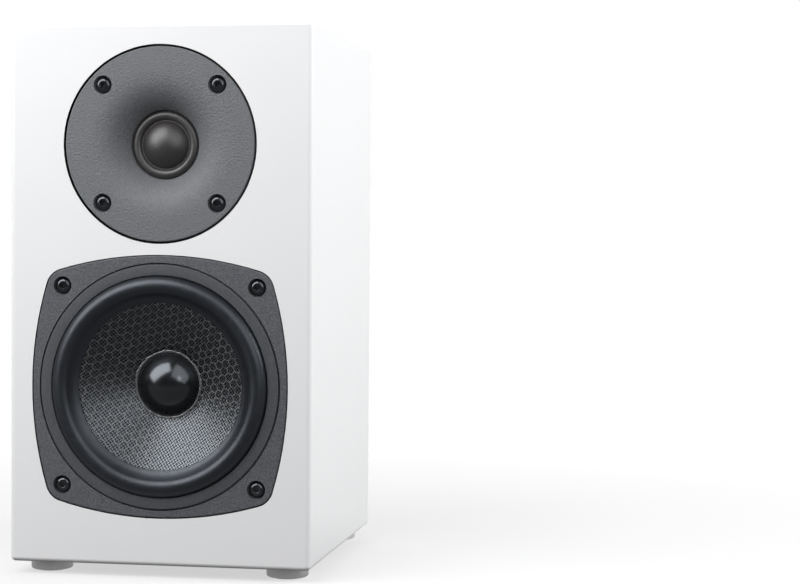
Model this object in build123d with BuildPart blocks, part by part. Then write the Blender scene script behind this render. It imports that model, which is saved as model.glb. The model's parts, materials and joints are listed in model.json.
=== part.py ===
from build123d import *

import os
from math import asin, cos, sin, sqrt

# Two-way bookshelf loudspeaker, in millimetres.
# +Z is up, the speaker faces -Y and +X is to the right of someone looking at its front.
# The origin is at the centre of the footprint, on the surface the feet stand on.

# ---------------------------------------------------------------- cabinet
cabinet_width = 164.0
cabinet_height = 287.0  # without the feet
cabinet_depth = 170.0  # baffle face to rear panel face
panel_thickness = 12.0  # sides, top and bottom, mitred at the corners
baffle_thickness = 18.0
rear_panel_thickness = 12.0
edge_radius = 2.5
rear_edge_radius = 1.0
drivers_share = 0.682  # share of the baffle's spare height that lies below the woofer
drivers_spacing = 6.75  # between the two drivers' rims
brace_drop = 55.0  # underside of the shelf brace below the tweeter's axis
brace_thickness = 9.0
brace_rim = 24.0  # width of wood left round the brace's window
brace_window_radius = 14.0
pad_thickness = 8.0  # acoustic foam on the walls
pad_margin = 5.0

# ---------------------------------------------------------------- feet
foot_diameter = 22.5
foot_height = 5.6
foot_edge_radius = 1.2
foot_inset = 16.5  # foot axis from the cabinet's sides and rear
foot_setback = 2.5  # front feet's axis behind the back of the baffle
foot_spacer_diameter = 20.0
foot_spacer_thickness = 0.5
foot_pad_diameter = 17.0
foot_pad_thickness = 1.5
foot_pad_recess = 1.0
foot_screw_length = 12.0  # under the head
foot_screw_radius = 2.0
foot_screw_head_height = 1.6

# ---------------------------------------------------------------- fits and fasteners
driver_gap = 0.5  # round each driver's rim, in its rebate
hole_clearance = 0.1  # radial, round a screw's shank
slip_clearance = 0.3  # radial, round a body that drops into a hole
thread_clearance = 0.05  # radial, between a threaded pair
gasket_thickness = 1.0
driver_screw_head_diameter = 8.6
driver_screw_head_height = 2.4
driver_screw_shank_diameter = 4.0
driver_screw_length = 15.0  # under the head
driver_screw_socket = 3.0  # across flats
driver_screw_socket_depth = 1.3
screw_pocket_clearance = 0.6  # radial, round a screw's head
screw_pocket_diameter = driver_screw_head_diameter + 2 * screw_pocket_clearance
insert_wall = 1.1
insert_diameter = driver_screw_shank_diameter + 2 * insert_wall
insert_length = 9.0
magnet_chamfer = 1.0

# ---------------------------------------------------------------- tweeter
tweeter_plate_diameter = 104.0
tweeter_plate_thickness = 4.5
tweeter_plate_edge = 0.6
tweeter_screw_circle = 88.0
tweeter_pocket_depth = 2.6
dome_diameter = 25.2
dome_height = 6.4
dome_rim_width = 1.2
tweeter_roll_width = 4.0
tweeter_roll_gap = 0.3  # dome's rim to the roll, and the roll to the throat
dome_rim_diameter = dome_diameter + 2 * dome_rim_width
tweeter_roll_centre_diameter = dome_rim_diameter + 2 * tweeter_roll_gap + tweeter_roll_width
throat_diameter = tweeter_roll_centre_diameter + tweeter_roll_width + 2 * tweeter_roll_gap
throat_depth = 11.0
waveguide_knee_width = 5.5  # from the throat out to where the waveguide opens up
waveguide_knee_depth = 4.62
mouth_diameter = 86.0
tweeter_boss_diameter = 74.0
throat_lip = 1.4  # plastic between the throat and the diaphragm's flange
diaphragm_flange_width = 5.1  # from the throat out to the flange's edge
diaphragm_flange_diameter = throat_diameter + 2 * diaphragm_flange_width
diaphragm_thickness = 0.4
diaphragm_flange_thickness = 1.6  # its clamped outer ring, which leaves the roll room behind
diaphragm_lap = 0.84  # of the roll's inner edge under the dome's rim
tweeter_former_stand = 0.1  # outside of the former beyond the dome's base
tweeter_coil_diameter = dome_diameter + 2 * tweeter_former_stand
tweeter_former_thickness = 0.25
tweeter_former_length = 6.6
tweeter_coil_thickness = 0.4
tweeter_coil_length = 2.6
tweeter_magnet_diameter = 66.0
tweeter_magnet_bore = 34.0
tweeter_magnet_thickness = 10.0
tweeter_steel_diameter = 60.0
tweeter_top_plate_thickness = 4.0
tweeter_back_plate_thickness = 5.0
tweeter_gap = 0.45  # radial air gap on each side of the coil
tweeter_vent_diameter = 7.0
rear_chamber_diameter = 56.0
rear_chamber_depth = 14.0
rear_chamber_wall = 2.0
tweeter_tab_radius = 35.2  # from the axis
tweeter_tab_spacing = 10.0
tweeter_tab_width = 2.8
tweeter_tab_length = 10.0

# ---------------------------------------------------------------- woofer
# From the cone's rim outward, each size rests on the one before it.
cone_rim_inner_diameter = 89.0
cone_rim_width = 3.8
cone_rim_diameter = cone_rim_inner_diameter + 2 * cone_rim_width
cone_rim_gap = 0.6  # between the cone's rim and the roll
surround_thickness = 0.8
roll_radius = 4.5  # inside of the rubber roll
roll_centre_diameter = cone_rim_diameter + 2 * (cone_rim_gap + roll_radius)
trim_ring_gap = 0.2  # between the roll and the trim ring
trim_ring_width = 6.0
trim_ring_height = 1.4
trim_ring_inner_diameter = roll_centre_diameter + 2 * (roll_radius + surround_thickness + trim_ring_gap)
trim_ring_outer_diameter = trim_ring_inner_diameter + 2 * trim_ring_width
trim_groove = 0.7  # open line between the trim ring and the frame
frame_ledge_diameter = trim_ring_outer_diameter + 2 * trim_groove
frame_ledge_depth = 1.8
frame_ledge_width = 9.8
surround_edge_gap = 1.1  # between the surround's edge and the wall of the ledge
surround_outer_diameter = frame_ledge_diameter - 2 * surround_edge_gap
frame_rim_width = 3.65  # from the ledge to the middle of a side
frame_width = frame_ledge_diameter + 2 * frame_rim_width
frame_bow = 9.6  # how far each side bows out between its corners
frame_corner_radius = 10.5
frame_edge_radius = 0.6
frame_thickness = 4.5
woofer_screw_inset = 16.25  # from the middle of a side
woofer_screw_spacing = frame_width - 2 * woofer_screw_inset
woofer_pocket_depth = 2.6
basket_wall = 2.5
basket_diameter = frame_ledge_diameter - 2 * (frame_ledge_width - basket_wall)
basket_straight = 10.0  # depth where the bowl starts to close in
basket_depth = 42.0  # baffle face to the back of the basket
basket_rear_diameter = 82.0
basket_floor = 3.0
basket_bore_diameter = 41.0
basket_bend_radius = 1.5  # outer corners of the bowl
spoke_rib_width = 3.0
spoke_rib_run = 8.0  # straight back before it slants in to the bowl's rear
spoke_rib_setback = 0.5  # inside the bowl's largest radius
spider_ledge_depth = 33.0
spider_ledge_width = 4.3
window_count = 6
window_angle = 40.0
window_top = 12.5
window_bottom = 29.5
window_corner_radius = 3.0
cone_drop = 19.5  # rim to neck
cone_thickness = 0.9
coil_diameter = 25.9  # outside of the former
former_thickness = 0.45
former_top_stand = 1.5
former_tail = 0.6  # beyond the voice coil
coil_thickness = 0.75
coil_length = 12.0
dust_cap_diameter = 34.5
dust_cap_height = 9.5
dust_cap_thickness = 0.6
glue_bead_width = 1.2
glue_bead_height = 1.0
spider_thickness = 0.6
spider_wave = 1.3
spider_wave_count = 5
spider_neck_width = 2.0  # flat part round the former
spider_ledge_gap = 1.0  # between the last wave and the basket's ledge
woofer_top_plate_thickness = 6.0
woofer_steel_diameter = 75.0
woofer_magnet_diameter = 80.0
woofer_magnet_bore = 36.0
woofer_magnet_thickness = 13.0
woofer_back_plate_thickness = 6.0
woofer_gap = 0.6  # radial air gap on each side of the coil
woofer_vent_diameter = 9.0
woofer_vent_mouth_diameter = 16.2
terminal_strip_width = 24.0
terminal_strip_length = 13.0
terminal_strip_thickness = 1.6
terminal_strip_overlap = 3.0  # how much of it lies on the basket
terminal_strip_corner = 1.5
tab_width = 4.8
tab_length = 9.0
tab_thickness = 0.8
tab_spacing = 13.0
tab_overhang = 3.0  # past the end of the strip

# ---------------------------------------------------------------- reflex port
port_drop = 72.0  # axis below the cabinet's top
port_diameter = 36.0
port_wall = 2.5
port_length = 88.0  # behind the rear panel's face
port_flare_radius = 9.0
port_collar_diameter = port_diameter + 2 * port_flare_radius
port_flange_width = 5.0  # beyond the flare
port_flange_diameter = port_collar_diameter + 2 * port_flange_width
port_flange_thickness = 2.5

# ---------------------------------------------------------------- terminal cup and binding posts
cup_height = 80.0
cup_diameter = 56.0  # inside
cup_depth = 18.0
cup_wall = 2.5
cup_flange_width = 11.0
cup_flange_diameter = cup_diameter + 2 * cup_flange_width
cup_flange_thickness = 2.5
cup_screw_offset = 6.8  # from the cup's inside wall out to the screws' axes
cup_screw_circle = cup_diameter + 2 * cup_screw_offset
cup_screw_shank_diameter = 3.2
cup_screw_head_diameter = 5.6
cup_screw_head_height = 2.0
cup_screw_length = 11.0
cross_recess_length = 3.1
cross_recess_width = 0.8
cross_recess_depth = 1.2
post_spacing = 19.05
post_diameter = 6.0
post_chamfer = 0.5
post_tail = 4.2  # thread left behind the nut
post_end_gap = 0.5  # post's end below the knob's end
banana_diameter = 4.04
banana_depth = 16.5
wire_hole_diameter = 2.6
collar_diameter = 14.0
collar_thickness = 4.0
clamp_washer_diameter = 12.0
clamp_washer_thickness = 1.2
knob_diameter = 13.0
knob_length = 19.0
knob_end_radius = 0.8
knob_flute_count = 12
knob_flute_diameter = 1.4
knob_flute_length = 14.5
solder_tag_thickness = 0.8
solder_tag_width = 7.0
solder_tag_length = 17.0
post_nut_width = 10.0  # across flats
post_nut_thickness = 4.0

# ---------------------------------------------------------------- crossover
board_length = 96.0
board_width = 56.0
board_thickness = 1.6
board_rear_gap = 12.0  # between the board and the rear panel
standoff_height = 5.0
standoff_diameter = 6.0
board_hole_inset = 5.0
board_screw_diameter = 3.0
board_screw_head_diameter = 5.5
board_screw_head_height = 2.0
board_screw_length = 12.0
bobbin_flange = 1.2
woofer_choke_diameter = 30.0
woofer_choke_height = 15.0
woofer_choke_core = 12.0
tweeter_choke_diameter = 20.0
tweeter_choke_height = 11.0
tweeter_choke_core = 8.0
parts_gap = 3.0  # between a part and the edge of the board, or its neighbour
woofer_capacitor_length = 28.0
woofer_capacitor_diameter = 13.0
tweeter_capacitor_length = 22.0
tweeter_capacitor_diameter = 10.0
capacitor_edge_radius = 1.0
resistor_length = 38.0
resistor_width = 9.0
resistor_chamfer = 0.6

# ---------------------------------------------------------------- wiring
lead_diameter = 2.2
lead_bend = 9.0
lead_rise = 20.0  # input leads' bend above the board
woofer_lead_rise = 25.0  # bend above the woofer's axis
tweeter_lead_rise = 55.0  # bend above the woofer's axis
tweeter_lead_spacing = 32.0  # on the board
tweeter_lead_drop = 8.0  # middle bend below the tweeter's tabs
lead_lean = 20.0  # how far forward a lead leans at its first bend
tweeter_lead_lean = 45.0  # and at the tweeter leads' last bend
tinsel_diameter = 1.2
tinsel_bend = 3.0
tinsel_end_bend = 2.0
tinsel_inset = 19.5  # where it meets the cone, in from the cone's rim
tinsel_slack = 9.0  # sideways run between the window and the cone
tinsel_rise = 5.0  # above the windows' lower edge
tinsel_stub = 3.0  # straight end behind the cone

# ---------------------------------------------------------------- worked-out places
base_z = foot_pad_thickness - foot_pad_recess + foot_height + foot_spacer_thickness
top_z = base_z + cabinet_height
middle_z = base_z + cabinet_height / 2
surround_top = -frame_ledge_depth + surround_thickness  # face of the surround's flanges
roll_crest = surround_top + roll_radius + surround_thickness
knob_reach = collar_thickness + clamp_washer_thickness + knob_length - cup_depth
front_y = -(roll_crest + cabinet_depth + knob_reach) / 2 + roll_crest
back_y = front_y + cabinet_depth
inner_width = cabinet_width - 2 * panel_thickness
inner_height = cabinet_height - 2 * panel_thickness
spare_height = cabinet_height - frame_width - drivers_spacing - tweeter_plate_diameter
woofer_z = base_z + spare_height * drivers_share + frame_width / 2
tweeter_z = woofer_z + frame_width / 2 + drivers_spacing + tweeter_plate_diameter / 2
port_z = top_z - port_drop
cup_z = base_z + cup_height
brace_z = tweeter_z - brace_drop
board_setback = cabinet_depth - rear_panel_thickness - board_rear_gap - board_width / 2
board_screw_bite = board_screw_length - board_thickness - standoff_height + hole_clearance


def facing_front(z, depth=0.0):
    """Plane parallel to the baffle, at a height and at a depth behind its face."""
    return Plane(origin=(0, front_y + depth, z), x_dir=(1, 0, 0), z_dir=(0, -1, 0))


def facing_rear(x, z, outward=0.0):
    """Plane parallel to the rear panel, at a distance out from its face."""
    return Plane(origin=(x, back_y + outward, z), x_dir=(-1, 0, 0), z_dir=(0, 1, 0))


def front_profile(z):
    """Half-section plane of a driver: x is the radius, y is the height above the baffle face."""
    return Plane(origin=(0, front_y, z), x_dir=(1, 0, 0), z_dir=(0, 0, -1))


def rear_profile(x, z, outward=0.0):
    """Half-section plane of a turned part on the rear: x is the radius, y points out."""
    return Plane(origin=(x, back_y + outward, z), x_dir=(1, 0, 0), z_dir=(0, 0, 1))


def front_axis(z):
    return Axis((0, front_y, z), (0, -1, 0))


def rear_axis(x, z):
    return Axis((x, back_y, z), (0, 1, 0))


def rims(builder, radius):
    """Circular edges of a sub-part that have a given radius."""
    circles = builder.edges().filter_by(GeomType.CIRCLE)
    return circles.filter_by(lambda edge: abs(edge.radius - radius) < 0.01)


def dome_arc(base_radius, base, height):
    """Arc of a spherical cap, from its crown on the axis to its edge."""
    sphere_radius = (base_radius**2 + height**2) / (2 * height)
    half_angle = asin(base_radius / sphere_radius) / 2
    crown = base + height
    middle = (sphere_radius * sin(half_angle), crown - sphere_radius * (1 - cos(half_angle)))
    return ThreePointArc((0, crown), middle, (base_radius, base))


def keep(builder, name):
    """Label a finished sub-part and write it as a file of its own."""
    builder.part.label = name
    export_step(builder.part, f"parts/{name}.step")


os.makedirs("parts", exist_ok=True)

# ================================================================ cabinet
# The baffle covers the whole front. Behind it, four mitred panels form a sleeve.
tweeter_rebate_depth = tweeter_plate_thickness + gasket_thickness
woofer_rebate_depth = frame_thickness + gasket_thickness
tweeter_hole_radius = tweeter_boss_diameter / 2 + slip_clearance
woofer_hole_radius = basket_diameter / 2 + slip_clearance
tweeter_screw_offset = tweeter_screw_circle / 2 / sqrt(2)
tweeter_screws_at = GridLocations(2 * tweeter_screw_offset, 2 * tweeter_screw_offset, 2, 2)
woofer_screws_at = GridLocations(woofer_screw_spacing, woofer_screw_spacing, 2, 2)


def frame_outline(gap=0.0):
    """Outline of the woofer's frame: four bowed sides with rounded corners."""
    half = frame_width / 2
    corner = half - frame_bow
    with BuildSketch() as outline:
        with BuildLine():
            ThreePointArc((-corner, corner), (0, half), (corner, corner))
            ThreePointArc((corner, corner), (half, 0), (corner, -corner))
            ThreePointArc((corner, -corner), (0, -half), (-corner, -corner))
            ThreePointArc((-corner, -corner), (-half, 0), (-corner, corner))
        make_face()
        fillet(outline.vertices(), frame_corner_radius)
        if gap:
            offset(amount=gap, mode=Mode.REPLACE)
    return outline.sketch


with BuildPart() as front_baffle:
    with BuildSketch(facing_front(middle_z)):
        Rectangle(cabinet_width, cabinet_height)
    extrude(amount=-baffle_thickness)
    front_and_side_edges = front_baffle.edges().group_by(Axis.Y)[:-1]
    fillet([edge for group in front_and_side_edges for edge in group], edge_radius)
    # rebates that let each driver's rim in flush
    with BuildSketch(facing_front(tweeter_z)):
        Circle(tweeter_plate_diameter / 2 + driver_gap)
    extrude(amount=-tweeter_rebate_depth, mode=Mode.SUBTRACT)
    with BuildSketch(facing_front(woofer_z)):
        add(frame_outline(driver_gap))
    extrude(amount=-woofer_rebate_depth, mode=Mode.SUBTRACT)
    # holes for the drivers' bodies, the woofer's one opened out behind for air
    with BuildSketch(facing_front(tweeter_z)):
        Circle(tweeter_hole_radius)
    extrude(amount=-baffle_thickness, mode=Mode.SUBTRACT)
    with BuildSketch(facing_front(woofer_z)):
        Circle(woofer_hole_radius)
    extrude(amount=-baffle_thickness, mode=Mode.SUBTRACT)
    woofer_exit = rims(front_baffle, woofer_hole_radius).sort_by(Axis.Y)[-1]
    chamfer(woofer_exit, (baffle_thickness - woofer_rebate_depth) / 2)
    # screw holes, opened behind for the threaded inserts
    for axis_z, places in ((tweeter_z, tweeter_screws_at), (woofer_z, woofer_screws_at)):
        with BuildSketch(facing_front(axis_z)):
            with places:
                Circle(driver_screw_shank_diameter / 2 + hole_clearance)
        extrude(amount=-baffle_thickness, mode=Mode.SUBTRACT)
        with BuildSketch(facing_front(axis_z, baffle_thickness)):
            with places:
                Circle(insert_diameter / 2)
        extrude(amount=insert_length, mode=Mode.SUBTRACT)
keep(front_baffle, "front_baffle")

with BuildPart() as sleeve:
    with BuildSketch(facing_front(middle_z, baffle_thickness)):
        RectangleRounded(cabinet_width, cabinet_height, edge_radius)
    extrude(amount=-(cabinet_depth - baffle_thickness))
    fillet(sleeve.edges().group_by(Axis.Y)[-1], rear_edge_radius)
    with BuildSketch(facing_front(middle_z, baffle_thickness)):
        Rectangle(inner_width, inner_height)
    extrude(amount=-(cabinet_depth - baffle_thickness), mode=Mode.SUBTRACT)

half_w = cabinet_width / 2
half_h = cabinet_height / 2
in_w = inner_width / 2
in_h = inner_height / 2
mitred_panels = {
    "top_panel": [(-half_w, half_h), (half_w, half_h), (in_w, in_h), (-in_w, in_h)],
    "bottom_panel": [(-half_w, -half_h), (-in_w, -in_h), (in_w, -in_h), (half_w, -half_h)],
    "left_side_panel": [(-half_w, -half_h), (-half_w, half_h), (-in_w, in_h), (-in_w, -in_h)],
    "right_side_panel": [(half_w, -half_h), (in_w, -in_h), (in_w, in_h), (half_w, half_h)],
}
feet_at = [
    (sx * (half_w - foot_inset), y)
    for sx in (-1, 1)
    for y in (front_y + baffle_thickness + foot_setback, back_y - foot_inset)
]
standoff_x = board_length / 2 - board_hole_inset
standoff_y = board_width / 2 - board_hole_inset
standoffs_at = [
    (sx * standoff_x, front_y + board_setback + sy * standoff_y)
    for sx in (-1, 1)
    for sy in (-1, 1)
]
for panel_name, corners in mitred_panels.items():
    with BuildPart() as panel:
        add(sleeve.part)
        with BuildSketch(facing_front(middle_z, baffle_thickness)):
            Polygon(*corners, align=None)
        extrude(amount=-cabinet_depth, mode=Mode.INTERSECT)
        if panel_name == "bottom_panel":
            with BuildSketch(Plane.XY.offset(base_z)):
                with Locations(*feet_at):
                    Circle(foot_screw_radius + hole_clearance)
            extrude(amount=panel_thickness, mode=Mode.SUBTRACT)
            with BuildSketch(Plane.XY.offset(base_z + panel_thickness)):
                with Locations(*standoffs_at):
                    Circle(board_screw_diameter / 2 + hole_clearance)
            extrude(amount=-board_screw_bite, mode=Mode.SUBTRACT)
    keep(panel, panel_name)

cup_hole_radius = cup_diameter / 2 + cup_wall + slip_clearance
port_hole_radius = port_collar_diameter / 2 + slip_clearance
with BuildPart() as rear_panel:
    with BuildSketch(facing_rear(0, middle_z)):
        Rectangle(inner_width, inner_height)
    extrude(amount=-rear_panel_thickness)
    with BuildSketch(facing_rear(0, port_z)):
        Circle(port_hole_radius)
    extrude(amount=-rear_panel_thickness, mode=Mode.SUBTRACT)
    with BuildSketch(facing_rear(0, cup_z)):
        Circle(cup_hole_radius)
        with PolarLocations(cup_screw_circle / 2, 4, start_angle=45):
            Circle(cup_screw_shank_diameter / 2 + hole_clearance)
    extrude(amount=-rear_panel_thickness, mode=Mode.SUBTRACT)
keep(rear_panel, "rear_panel")

inner_front = front_y + baffle_thickness
inner_back = back_y - rear_panel_thickness
inner_depth = inner_back - inner_front
inner_middle_y = (inner_front + inner_back) / 2
with BuildPart() as shelf_brace:
    with BuildSketch(Plane.XY.offset(brace_z)):
        with Locations((0, inner_middle_y)):
            Rectangle(inner_width, inner_depth)
            window_size = (inner_width - 2 * brace_rim, inner_depth - 2 * brace_rim)
            RectangleRounded(*window_size, brace_window_radius, mode=Mode.SUBTRACT)
    extrude(amount=brace_thickness)
keep(shelf_brace, "shelf_brace")

brace_top = brace_z + brace_thickness
pad_spans = (
    (base_z + panel_thickness + pad_margin, brace_z - pad_margin),
    (brace_top + pad_margin, top_z - panel_thickness - pad_margin),
)
with BuildPart() as damping_pads:
    for pad_low, pad_high in pad_spans:
        for side in (-1, 1):
            with BuildSketch(Plane.YZ.offset(side * inner_width / 2)):
                with Locations((inner_middle_y, (pad_low + pad_high) / 2)):
                    Rectangle(inner_depth - 2 * pad_margin, pad_high - pad_low)
            extrude(amount=-side * pad_thickness)
keep(damping_pads, "damping_pads")

# ================================================================ feet
with BuildPart() as feet:
    foot_bottom = foot_pad_thickness - foot_pad_recess
    with BuildSketch(Plane.XY.offset(foot_bottom)):
        with Locations(*feet_at):
            Circle(foot_diameter / 2)
    extrude(amount=foot_height)
    fillet(feet.edges().group_by(Axis.Z)[0], foot_edge_radius)
    with BuildSketch(Plane.XY.offset(foot_bottom)):
        with Locations(*feet_at):
            Circle(foot_pad_diameter / 2)
    extrude(amount=foot_pad_recess, mode=Mode.SUBTRACT)
    with BuildSketch(Plane.XY.offset(foot_bottom)):
        with Locations(*feet_at):
            Circle(foot_screw_radius * 2)
    extrude(amount=foot_height / 2, mode=Mode.SUBTRACT)
    with BuildSketch(Plane.XY.offset(foot_bottom)):
        with Locations(*feet_at):
            Circle(foot_screw_radius + hole_clearance)
    extrude(amount=foot_height, mode=Mode.SUBTRACT)
keep(feet, "feet")

with BuildPart() as foot_pads:
    with BuildSketch(Plane.XY):
        with Locations(*feet_at):
            Circle(foot_pad_diameter / 2)
    extrude(amount=foot_pad_thickness)
    fillet(foot_pads.edges().group_by(Axis.Z)[0], foot_pad_recess / 4)
keep(foot_pads, "foot_pads")

with BuildPart() as foot_spacers:
    with BuildSketch(Plane.XY.offset(base_z - foot_spacer_thickness)):
        with Locations(*feet_at):
            Circle(foot_spacer_diameter / 2)
            Circle(foot_screw_radius + hole_clearance, mode=Mode.SUBTRACT)
    extrude(amount=foot_spacer_thickness)
keep(foot_spacers, "foot_spacers")

with BuildPart() as foot_screws:
    head_seat = foot_bottom + foot_height / 2
    with BuildSketch(Plane.XY.offset(head_seat)):
        with Locations(*feet_at):
            Circle(foot_screw_radius * 2 - hole_clearance)
    extrude(amount=-foot_screw_head_height)
    with BuildSketch(Plane.XY.offset(head_seat)):
        with Locations(*feet_at):
            Circle(foot_screw_radius)
    extrude(amount=foot_screw_length)
keep(foot_screws, "foot_screws")

# ================================================================ tweeter
# Heights are above the baffle face, so everything inside the cabinet is below zero.
plate_back = -tweeter_plate_thickness
flange_top = -throat_depth - throat_lip
flange_bottom = flange_top - diaphragm_thickness
boss_back = flange_top - diaphragm_flange_thickness
tweeter_top_plate_back = boss_back - tweeter_top_plate_thickness
tweeter_magnet_back = tweeter_top_plate_back - tweeter_magnet_thickness
tweeter_yoke_back = tweeter_magnet_back - tweeter_back_plate_thickness
tweeter_former_radius = tweeter_coil_diameter / 2
tweeter_pole_radius = tweeter_former_radius - tweeter_former_thickness - tweeter_gap
tweeter_gap_radius = tweeter_former_radius + tweeter_coil_thickness + tweeter_gap

with BuildPart() as tweeter_faceplate:
    with BuildSketch(front_profile(tweeter_z)):
        rim = tweeter_plate_diameter / 2
        throat = throat_diameter / 2
        flange_seat = diaphragm_flange_diameter / 2 + slip_clearance
        with BuildLine():
            Spline(
                (throat, -throat_depth),
                (throat + waveguide_knee_width, -waveguide_knee_depth),
                (mouth_diameter / 2, 0),
                tangents=((0.5, 1), (1, 0)),
            )
            Line((mouth_diameter / 2, 0), (rim - tweeter_plate_edge, 0))
            RadiusArc((rim - tweeter_plate_edge, 0), (rim, -tweeter_plate_edge), tweeter_plate_edge)
            Polyline(
                (rim, -tweeter_plate_edge),
                (rim, plate_back),
                (tweeter_boss_diameter / 2, plate_back),
                (tweeter_boss_diameter / 2, boss_back),
                (flange_seat, boss_back),
                (flange_seat, flange_top),
                (throat, flange_top),
                (throat, -throat_depth),
            )
        make_face()
    revolve(axis=front_axis(tweeter_z))
    with BuildSketch(facing_front(tweeter_z)):
        with tweeter_screws_at:
            Circle(screw_pocket_diameter / 2)
    extrude(amount=-tweeter_pocket_depth, mode=Mode.SUBTRACT)
    with BuildSketch(facing_front(tweeter_z)):
        with tweeter_screws_at:
            Circle(driver_screw_shank_diameter / 2 + hole_clearance)
    extrude(amount=-tweeter_plate_thickness, mode=Mode.SUBTRACT)
keep(tweeter_faceplate, "tweeter_faceplate")

# One-piece fabric diaphragm: the dome with its rim moves, the rolled edge flexes round it.
dome_radius = dome_diameter / 2
dome_rim_radius = dome_rim_diameter / 2
roll_centre = tweeter_roll_centre_diameter / 2
roll_half = tweeter_roll_width / 2
with BuildPart() as tweeter_dome:
    inner_radius = tweeter_former_radius - tweeter_former_thickness
    with BuildSketch(front_profile(tweeter_z)):
        with BuildLine():
            outer_arc = dome_arc(dome_radius, flange_top + diaphragm_thickness, dome_height)
            Polyline(
                outer_arc @ 1,
                (dome_rim_radius, flange_top + diaphragm_thickness),
                (dome_rim_radius, flange_top),
                (inner_radius, flange_top),
            )
            inner_arc = dome_arc(inner_radius, flange_top, dome_height)
            Line(inner_arc @ 0, outer_arc @ 0)
        make_face()
    revolve(axis=front_axis(tweeter_z))
keep(tweeter_dome, "tweeter_dome")

with BuildPart() as tweeter_surround:
    with BuildSketch(front_profile(tweeter_z)):
        with BuildLine():
            inner_edge = dome_rim_radius - diaphragm_lap
            hollow_half = roll_half - diaphragm_thickness
            Line((inner_edge, flange_bottom), (roll_centre - hollow_half, flange_bottom))
            ThreePointArc(
                (roll_centre - hollow_half, flange_bottom),
                (roll_centre, flange_bottom + hollow_half),
                (roll_centre + hollow_half, flange_bottom),
            )
            clamped_from = roll_centre + roll_half + diaphragm_thickness
            Polyline(
                (roll_centre + hollow_half, flange_bottom),
                (clamped_from, flange_bottom),
                (clamped_from, boss_back),
                (diaphragm_flange_diameter / 2, boss_back),
                (diaphragm_flange_diameter / 2, flange_top),
                (roll_centre + roll_half, flange_top),
            )
            ThreePointArc(
                (roll_centre + roll_half, flange_top),
                (roll_centre, flange_top + roll_half),
                (roll_centre - roll_half, flange_top),
            )
            Polyline(
                (roll_centre - roll_half, flange_top),
                (inner_edge, flange_top),
                (inner_edge, flange_bottom),
            )
        make_face()
    revolve(axis=front_axis(tweeter_z))
keep(tweeter_surround, "tweeter_surround")


def turned(z, *outline):
    """Closed half-section of straight runs for a part turned about a driver's axis."""
    with BuildSketch(front_profile(z)) as section:
        Polygon(*outline, align=None)
    return section.sketch


def ring(z, inner, outer, top, bottom):
    """Half-section of a plain ring between two radii and two heights."""
    return turned(z, (inner, bottom), (outer, bottom), (outer, top), (inner, top))


with BuildPart() as tweeter_former:
    revolve(
        ring(
            tweeter_z,
            tweeter_former_radius - tweeter_former_thickness,
            tweeter_former_radius,
            flange_top,
            flange_top - tweeter_former_length,
        ),
        axis=front_axis(tweeter_z),
    )
keep(tweeter_former, "tweeter_former")

with BuildPart() as tweeter_voice_coil:
    coil_middle = boss_back - tweeter_top_plate_thickness / 2
    revolve(
        ring(
            tweeter_z,
            tweeter_former_radius,
            tweeter_former_radius + tweeter_coil_thickness,
            coil_middle + tweeter_coil_length / 2,
            coil_middle - tweeter_coil_length / 2,
        ),
        axis=front_axis(tweeter_z),
    )
keep(tweeter_voice_coil, "tweeter_voice_coil")

with BuildPart() as tweeter_top_plate:
    revolve(
        ring(tweeter_z, tweeter_gap_radius, tweeter_steel_diameter / 2, boss_back, tweeter_top_plate_back),
        axis=front_axis(tweeter_z),
    )
keep(tweeter_top_plate, "tweeter_top_plate")

with BuildPart() as tweeter_magnet:
    revolve(
        ring(
            tweeter_z,
            tweeter_magnet_bore / 2,
            tweeter_magnet_diameter / 2,
            tweeter_top_plate_back,
            tweeter_magnet_back,
        ),
        axis=front_axis(tweeter_z),
    )
    chamfer(rims(tweeter_magnet, tweeter_magnet_diameter / 2), magnet_chamfer)
keep(tweeter_magnet, "tweeter_magnet")

with BuildPart() as tweeter_yoke:
    vent = tweeter_vent_diameter / 2
    revolve(
        turned(
            tweeter_z,
            (vent, boss_back),
            (vent, tweeter_yoke_back),
            (tweeter_steel_diameter / 2, tweeter_yoke_back),
            (tweeter_steel_diameter / 2, tweeter_magnet_back),
            (tweeter_pole_radius, tweeter_magnet_back),
            (tweeter_pole_radius, boss_back),
        ),
        axis=front_axis(tweeter_z),
    )
keep(tweeter_yoke, "tweeter_yoke")

with BuildPart() as tweeter_rear_chamber:
    chamber = rear_chamber_diameter / 2
    chamber_back = tweeter_yoke_back - rear_chamber_depth
    revolve(
        turned(
            tweeter_z,
            (0, chamber_back),
            (chamber, chamber_back),
            (chamber, tweeter_yoke_back),
            (chamber - rear_chamber_wall, tweeter_yoke_back),
            (chamber - rear_chamber_wall, chamber_back + rear_chamber_wall),
            (0, chamber_back + rear_chamber_wall),
        ),
        axis=front_axis(tweeter_z),
    )
    fillet(rims(tweeter_rear_chamber, chamber).sort_by(Axis.Y)[-1], rear_chamber_wall)
keep(tweeter_rear_chamber, "tweeter_rear_chamber")


def driver_screws(z, places, seat_depth):
    """Button-head screws with a hexagon socket, their heads seated at a depth behind the face."""
    with BuildPart() as screws:
        with BuildSketch(facing_front(z, seat_depth)):
            with places:
                Circle(driver_screw_head_diameter / 2)
        extrude(amount=driver_screw_head_height)
        fillet(screws.edges().group_by(Axis.Y)[0], driver_screw_head_height * 0.7)
        with BuildSketch(facing_front(z, seat_depth - driver_screw_head_height)):
            with places:
                RegularPolygon(driver_screw_socket / 2, 6, major_radius=False)
        extrude(amount=-driver_screw_socket_depth, mode=Mode.SUBTRACT)
        with BuildSketch(facing_front(z, seat_depth)):
            with places:
                Circle(driver_screw_shank_diameter / 2)
        extrude(amount=-driver_screw_length)
    return screws


keep(driver_screws(tweeter_z, tweeter_screws_at, tweeter_pocket_depth), "tweeter_screws")
keep(driver_screws(woofer_z, woofer_screws_at, woofer_pocket_depth), "woofer_screws")

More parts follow.
